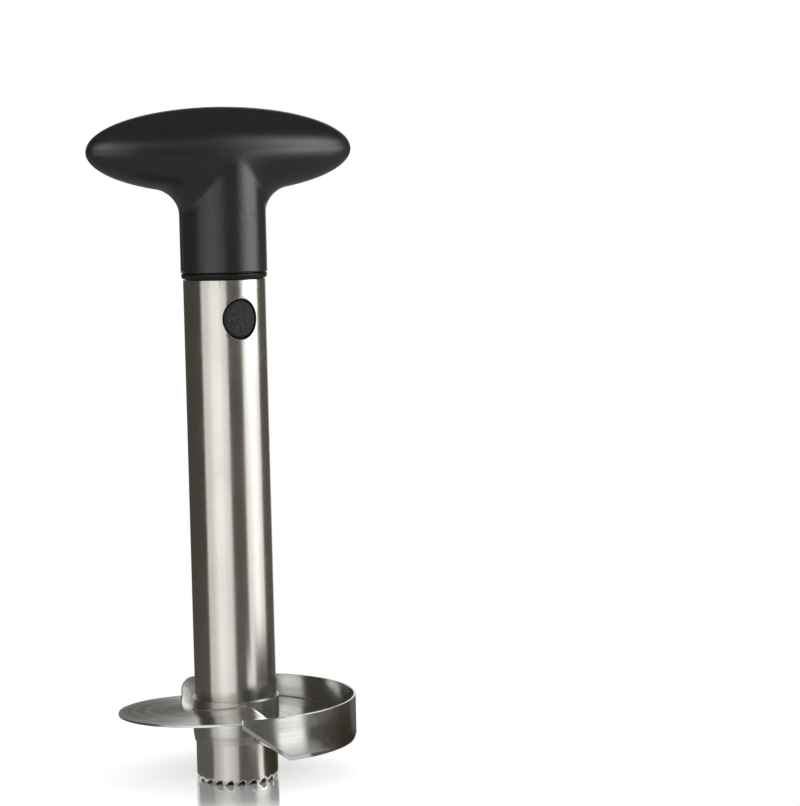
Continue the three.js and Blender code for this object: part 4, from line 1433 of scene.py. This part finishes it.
def stage_piece(name, outline, material):
    """An outline of (radius, level) pairs turned round the axis, which isn't part of the object."""
    grid, around = turned(outline, STAGE_COLUMNS)
    piece = bpy.data.objects.new(name, join_grids(name, [(grid, around)]))
    piece.data.materials.append(material)
    bpy.context.scene.collection.objects.link(piece)
    return piece


def face_up(piece):
    if piece.data.polygons[0].normal.z < 0:
        piece.data.flip_normals()


def only_in_mirrors(piece):
    for kind in ("camera", "diffuse", "shadow", "transmission", "volume_scatter"):
        setattr(piece, "visible_" + kind, False)


def surround_windows(tree, azimuth, level):
    """Both windows with their gains over the level and the right one's slanting inner edge."""
    band = window(tree, level, *FLOOR_BAND)
    left_gain = product(
        tree, rescale(tree, level, *LEFT_DIP), rescale(tree, level, *LEFT_RISE),
        mix_values(tree, band, 1.0, FLOOR_BAND_LEFT),
    )
    stem = calc(tree, "MULTIPLY", window(tree, level, *STEM_LEVELS), rescale(tree, azimuth, *STEM_SIDE))
    bar = mix_values(tree, rescale(tree, level, *BAR_LEVELS), 1.0, rescale(tree, azimuth, *BAR_SIDE))
    right_gain = product(
        tree, rescale(tree, level, *RIGHT_RISE), mix_values(tree, band, 1.0, FLOOR_BAND_RIGHT),
        mix_values(tree, stem, 1.0, STEM_GAIN), bar,
    )
    slant = calc(tree, "SUBTRACT", rescale(tree, level, *SLANT_OUT), rescale(tree, level, *SLANT_BACK))
    straight = calc(tree, "SUBTRACT", azimuth, slant)
    right_share = rescale(tree, straight, RIGHT_WINDOW[0] - SLANT_EDGE, RIGHT_WINDOW[0] + SLANT_EDGE)
    return studio_light(tree, azimuth, left_gain, right_gain, right_share)


def surround_finish():
    """Windows and fill up to their tops, dark above, white behind the object, a faint ceiling."""
    material, tree = emission("surround_windows")
    place = object_place(tree)
    azimuth, level = photo_azimuth(tree, place), level_of(tree, place)
    fill = product(tree, bulge(tree, azimuth, *FILL_SIDE), window(tree, level, *FILL_LEVELS), FILL_LIGHT)
    windows = calc(tree, "ADD", surround_windows(tree, azimuth, level), fill)
    top = calc(tree, "ADD", rescale(tree, azimuth, *TOP_RIGHT), rescale(tree, azimuth, *TOP_LEFT))
    above_top = calc(tree, "SUBTRACT", level, top)
    light = mix_values(tree, rescale(tree, above_top, -TOP_EDGE, TOP_EDGE), windows, DARK_TOP)
    gap = calc(tree, "MULTIPLY", window(tree, azimuth, *BACK_GAP), rescale(tree, level, *GAP_TOP))
    turned_away = calc(tree, "ABSOLUTE", calc(tree, "SUBTRACT", azimuth, FAR_MIDDLE))
    far = window(tree, turned_away, FAR_START, FAR_END)
    far = calc(tree, "MULTIPLY", far, window(tree, level, *FAR_LEVELS))
    light = mix_values(tree, calc(tree, "MAXIMUM", gap, far), light, 1.0)
    light = calc(tree, "ADD", light, rescale(tree, level, *CEILING))
    add_node(tree, "ShaderNodeOutputMaterial", {"Surface": warm_glow(tree, light)})
    return material


surround_outline = rounded(
    [[SURROUND_RADIUS, 0], [SURROUND_RADIUS, SURROUND_HEIGHT], [0, SURROUND_HEIGHT]],
    [0, SURROUND_ROUND, 0], steps=SURROUND_STEPS,
)
surround = stage_piece("surround", surround_outline, surround_finish())
only_in_mirrors(surround)

# %% [markdown]
# Mirror rays that leave the steel downwards would end on the white floor and make the tube's lower half
# white. A card just above the floor stops them. It carries the windows on, straightened near the foot,
# where a round tube mirrors a flat floor with a bend. Only what comes from above sees it. Edges and
# bevels near it send short, steep rays down, and for these it has light values of its own.

# %% Low card that carries the windows over the floor
CARD_INNER = 0.0175
CARD_LEVEL = 0.0008
MIRROR_ROUNDS = 2

# Near the foot the pattern is straightened, its windows are dimmer and its dark parts lighter
NEAR_FOOT = (0.09, 0.2, 1.0, 0.0)
NEAR_LEFT_GAIN, NEAR_RIGHT_GAIN = 0.6, 0.75
NEAR_RIGHT_EDGE = (58, 65)
NEAR_DARK = (-78, -66, 0.065, 0.03)
# The right window stays dark near the foot, with an edge that runs later close to it
LATE_SHIFT = (0.08, 0.105, 18.0, 0.0)
LATE_WINDOW = (60, 130)
LATE_REACH = (0.25, 0.35, 1.0, 0.0)
LATE_LIGHT = 0.04
# The patch that the front of the cutter wall mirrors
WALL_SIDE = (33, 57)
WALL_REACH = (0.11, 0.25, 0.02)
WALL_LIGHT = 1.45
BACK_LIGHT = 0.9
# Short rays come from edges near the card, steep rays from faces that lean down
SHORT_RAY = (0.08, 0.16, 1.0, 0.0)
STEEP_LIGHT = 0.28
EDGE_LIGHT, FRONT_EDGE_LIGHT, RIGHT_EDGE_LIGHT = 0.1, 0.3, 0.6
FRONT_EDGES = (-75, 18)
RIGHT_EDGES = (20, 50)
GRAZING = (0.68, 0.84)
SHORT_GRAZING = (0.44, 0.54)


def mirrored_azimuth(tree, azimuth, distance):
    """The direction in which the tube mirrors a place on the floor. A place at distance d and angle a
    is seen in the tube at the angle f for which 2 f = a + arcsin(tube radius / d * sin f), and two
    rounds of that sum, from f = a / 2, come near enough. What is kept and returned is 2 f."""
    found = azimuth
    share = calc(tree, "DIVIDE", TUBE_RADIUS, distance)
    for _ in range(MIRROR_ROUNDS):
        sine = calc(tree, "SINE", calc(tree, "MULTIPLY", found, math.radians(1) / 2))
        shift = calc(tree, "ARCSINE", calc(tree, "MULTIPLY", share, sine))
        found = calc(tree, "ADD", azimuth, calc(tree, "MULTIPLY", shift, math.degrees(1)))
    return found


def card_light(tree, azimuth, distance):
    """The windows over the floor: the surround's far out, straightened and dimmed near the foot."""
    straight = mirrored_azimuth(tree, azimuth, distance)
    near = rescale(tree, distance, *NEAR_FOOT)
    pattern = studio_light(
        tree, mix_values(tree, near, azimuth, straight), mix_values(tree, near, 1.0, NEAR_LEFT_GAIN),
        mix_values(tree, near, 1.0, NEAR_RIGHT_GAIN),
        mix_values(tree, near, 1.0, rescale(tree, straight, *NEAR_RIGHT_EDGE)),
    )
    dark = calc(tree, "MULTIPLY", near, rescale(tree, straight, *NEAR_DARK))
    late = calc(tree, "SUBTRACT", straight, rescale(tree, distance, *LATE_SHIFT))
    late = calc(tree, "MULTIPLY", window(tree, late, *LATE_WINDOW), rescale(tree, distance, *LATE_REACH))
    light = mix_values(tree, late, calc(tree, "ADD", pattern, dark), LATE_LIGHT)
    wall_part = window(tree, azimuth, *WALL_SIDE)
    wall_part = calc(tree, "MULTIPLY", wall_part, window(tree, distance, *WALL_REACH))
    light = mix_values(tree, wall_part, light, WALL_LIGHT)
    return mix_values(tree, window(tree, azimuth, *BACK_GAP), light, BACK_LIGHT)


def card_finish():
    """Seen from above it glows as the surround does; seen from below it isn't there."""
    material, tree = emission("floor_card_windows")
    place = object_place(tree)
    azimuth, distance = photo_azimuth(tree, place), distance_of(tree, place)
    facing = facing_share(tree)
    length = add_node(tree, "ShaderNodeLightPath").outputs["Ray Length"]
    short = rescale(tree, length, *SHORT_RAY)
    edges = mix_values(tree, window(tree, azimuth, *FRONT_EDGES), EDGE_LIGHT, FRONT_EDGE_LIGHT)
    edges = mix_values(tree, window(tree, azimuth, *RIGHT_EDGES), edges, RIGHT_EDGE_LIGHT)
    steep = mix_values(tree, short, STEEP_LIGHT, edges)
    long_grazing, short_grazing = rescale(tree, facing, *GRAZING), rescale(tree, facing, *SHORT_GRAZING)
    grazing = mix_values(tree, short, long_grazing, short_grazing)
    light = mix_values(tree, grazing, steep, card_light(tree, azimuth, distance))
    clear = add_node(tree, "ShaderNodeBsdfTransparent").outputs[0]
    below = add_node(tree, "ShaderNodeNewGeometry").outputs["Backfacing"]
    side = add_node(tree, "ShaderNodeMixShader", {0: below, 1: warm_glow(tree, light), 2: clear})
    add_node(tree, "ShaderNodeOutputMaterial", {"Surface": side.outputs[0]})
    return material


card_outline = np.array([[CARD_INNER, CARD_LEVEL], [SURROUND_RADIUS, CARD_LEVEL]])
card = stage_piece("floor_card", card_outline, card_finish())
face_up(card)
only_in_mirrors(card)

# %% [markdown]
# The slicer stands on glossy white plastic, which shows a short mirror image of the foot and is
# otherwise lost in the white of the studio. In the photograph that image is a strip as wide as the tube.
# So the floor is white and matte, but for a glossy strip in front of the foot. The strip narrows
# towards the picture's side, so that perspective shows it with one width. Further out the floor's
# colour runs into the plain white background, so that no horizon shows.

# %% Floor
FLOOR_RINGS = (0, 0.05, 0.3, 1, 3)
FLOOR_FADE = (0.08, 0.15)
FLOOR_WHITE = 0.8
FLOOR_LIFT = 0.58
FLOOR_ROUGHNESS = 0.5
STRIP_HALF_WIDTH = 0.015
STRIP_EDGE = 0.0002
STRIP_FRONT = (-0.01, 0.0, 1.0, 0.0)
STRIP_END = (0.035, 0.066, 1.0, 0.0)
# The strip keeps only this share of the floor's glow: painted shade under the mirror image.
STRIP_SHADED_GLOW_SHARE = 0.14
STRIP_POWER = 3.1
STRIP_ROUGHNESS = 0.05
RIPPLES_PER_METRE = 120.0
RIPPLE_DEPTH = 0.00002


def shown_rays(tree):
    """One for the rays that show a thing: straight to the picture, mirrored or through glass."""
    path = add_node(tree, "ShaderNodeLightPath").outputs
    mirrored = calc(tree, "MAXIMUM", path["Is Glossy Ray"], path["Is Transmission Ray"])
    return calc(tree, "MAXIMUM", path["Is Camera Ray"], mirrored)


def glossy_strip(tree, place, distance):
    """One in the strip: its width is compared with x divided by one plus y over the picture's distance."""
    parts = photo_parts(tree, place)
    nearer = calc(tree, "ADD", 1.0, calc(tree, "DIVIDE", parts["Y"], CAMERA_DISTANCE))
    aside = calc(tree, "DIVIDE", parts["X"], nearer)
    return product(
        tree, window(tree, aside, -STRIP_HALF_WIDTH, STRIP_HALF_WIDTH, STRIP_EDGE),
        rescale(tree, parts["Y"], *STRIP_FRONT), rescale(tree, distance, *STRIP_END),
    )


def floor_finish():
    material, tree, shader = new_material("floor_glossy_white")
    place = object_place(tree)
    distance = distance_of(tree, place)
    seen = shown_rays(tree)
    strip = glossy_strip(tree, place, distance)
    # The glow falls to nothing inside the tube's bore and to a small share in the strip: painted shade
    # under the tube and under its mirror image.
    glow_with_painted_shade = product(
        tree, seen, rescale(tree, distance, TUBE_BORE, TUBE_RADIUS, 0.0, FLOOR_LIFT),
        mix_values(tree, strip, 1.0, STRIP_SHADED_GLOW_SHARE),
    )
    white = (FLOOR_WHITE, FLOOR_WHITE, FLOOR_WHITE, 1)
    set_inputs(tree, shader, {
        "Base Color": white, "Roughness": FLOOR_ROUGHNESS, "Specular IOR Level": 0.0,
        "Emission Color": grey(tree, glow_with_painted_shade), "Emission Strength": 1.0,
    })
    ripples = bump(tree, noise(tree, place, RIPPLES_PER_METRE), RIPPLE_DEPTH)
    inputs = {"Color": (1, 1, 1, 1), "Roughness": STRIP_ROUGHNESS, "Normal": ripples}
    mirror = add_node(tree, "ShaderNodeBsdfGlossy", inputs).outputs[0]
    facing = facing_share(tree)
    share = calc(tree, "MULTIPLY", calc(tree, "POWER", facing, STRIP_POWER), strip)
    near = add_node(tree, "ShaderNodeMixShader", {0: share, 1: shader.outputs[0], 2: mirror})
    glow = add_node(tree, "ShaderNodeEmission", {"Color": grey(tree, seen), "Strength": 1.0})
    plain = add_node(tree, "ShaderNodeBsdfDiffuse", {"Color": white})
    far = add_node(tree, "ShaderNodeMixShader", {0: seen, 1: plain.outputs[0], 2: glow.outputs[0]})
    fade = rescale(tree, distance, *FLOOR_FADE)
    whole = add_node(tree, "ShaderNodeMixShader", {0: fade, 1: near.outputs[0], 2: far.outputs[0]})
    tree.links.new(whole.outputs[0], tree.nodes["Material Output"].inputs["Surface"])
    return material


floor = stage_piece("floor", np.array([[radius, 0] for radius in FLOOR_RINGS]), floor_finish())
face_up(floor)

# %% [markdown]
# Plain light: an even white sky for the shadows and two large soft lamps where the windows are. The
# lamps are left out of mirror rays, because the surround already shows them. Mirror rays and the
# picture see the sky as plain white, and all other rays get less of it.

# %% World and lamps
SKY_DIFFUSE = 0.55
LAMP_DISTANCE = 0.9
LAMP_LEVEL = 0.5
LAMP_SIZE = (0.8, 0.5)
LAMP_AIM = 0.12
LAMPS = {"lamp_left": (-35, 2.0), "lamp_right": (73, 3.2)}


def light_world():
    world = bpy.data.worlds.new("white_studio")
    bpy.context.scene.world = world
    world.use_nodes = True
    tree = world.node_tree
    strength = mix_values(tree, shown_rays(tree), SKY_DIFFUSE, 1.0)
    set_inputs(tree, tree.nodes["Background"], {"Color": grey(tree, strength), "Strength": 1.0})


def soft_lamp(name, azimuth, power):
    lamp = bpy.data.objects.new(name, bpy.data.lights.new(name, "AREA"))
    lamp.data.shape = "RECTANGLE"
    lamp.data.size, lamp.data.size_y = LAMP_SIZE
    lamp.data.energy = power
    place = ring_point(LAMP_DISTANCE, math.radians(azimuth) + CAMERA_SIDE, LAMP_LEVEL)
    towards = Vector(np.array([0, 0, LAMP_AIM]) - place)
    turn = towards.to_track_quat("-Z", "Y").to_matrix().to_4x4()
    lamp.matrix_world = Matrix.Translation(place) @ turn
    lamp.visible_glossy = False
    bpy.context.scene.collection.objects.link(lamp)


light_world()
for name, (azimuth, power) in LAMPS.items():
    soft_lamp(name, azimuth, power)
print("Lamps:", ", ".join(LAMPS))

# %% [markdown]
# The last cell keeps colours as they are written.

# %% Picture settings
bpy.context.scene.view_settings.view_transform = "Standard"
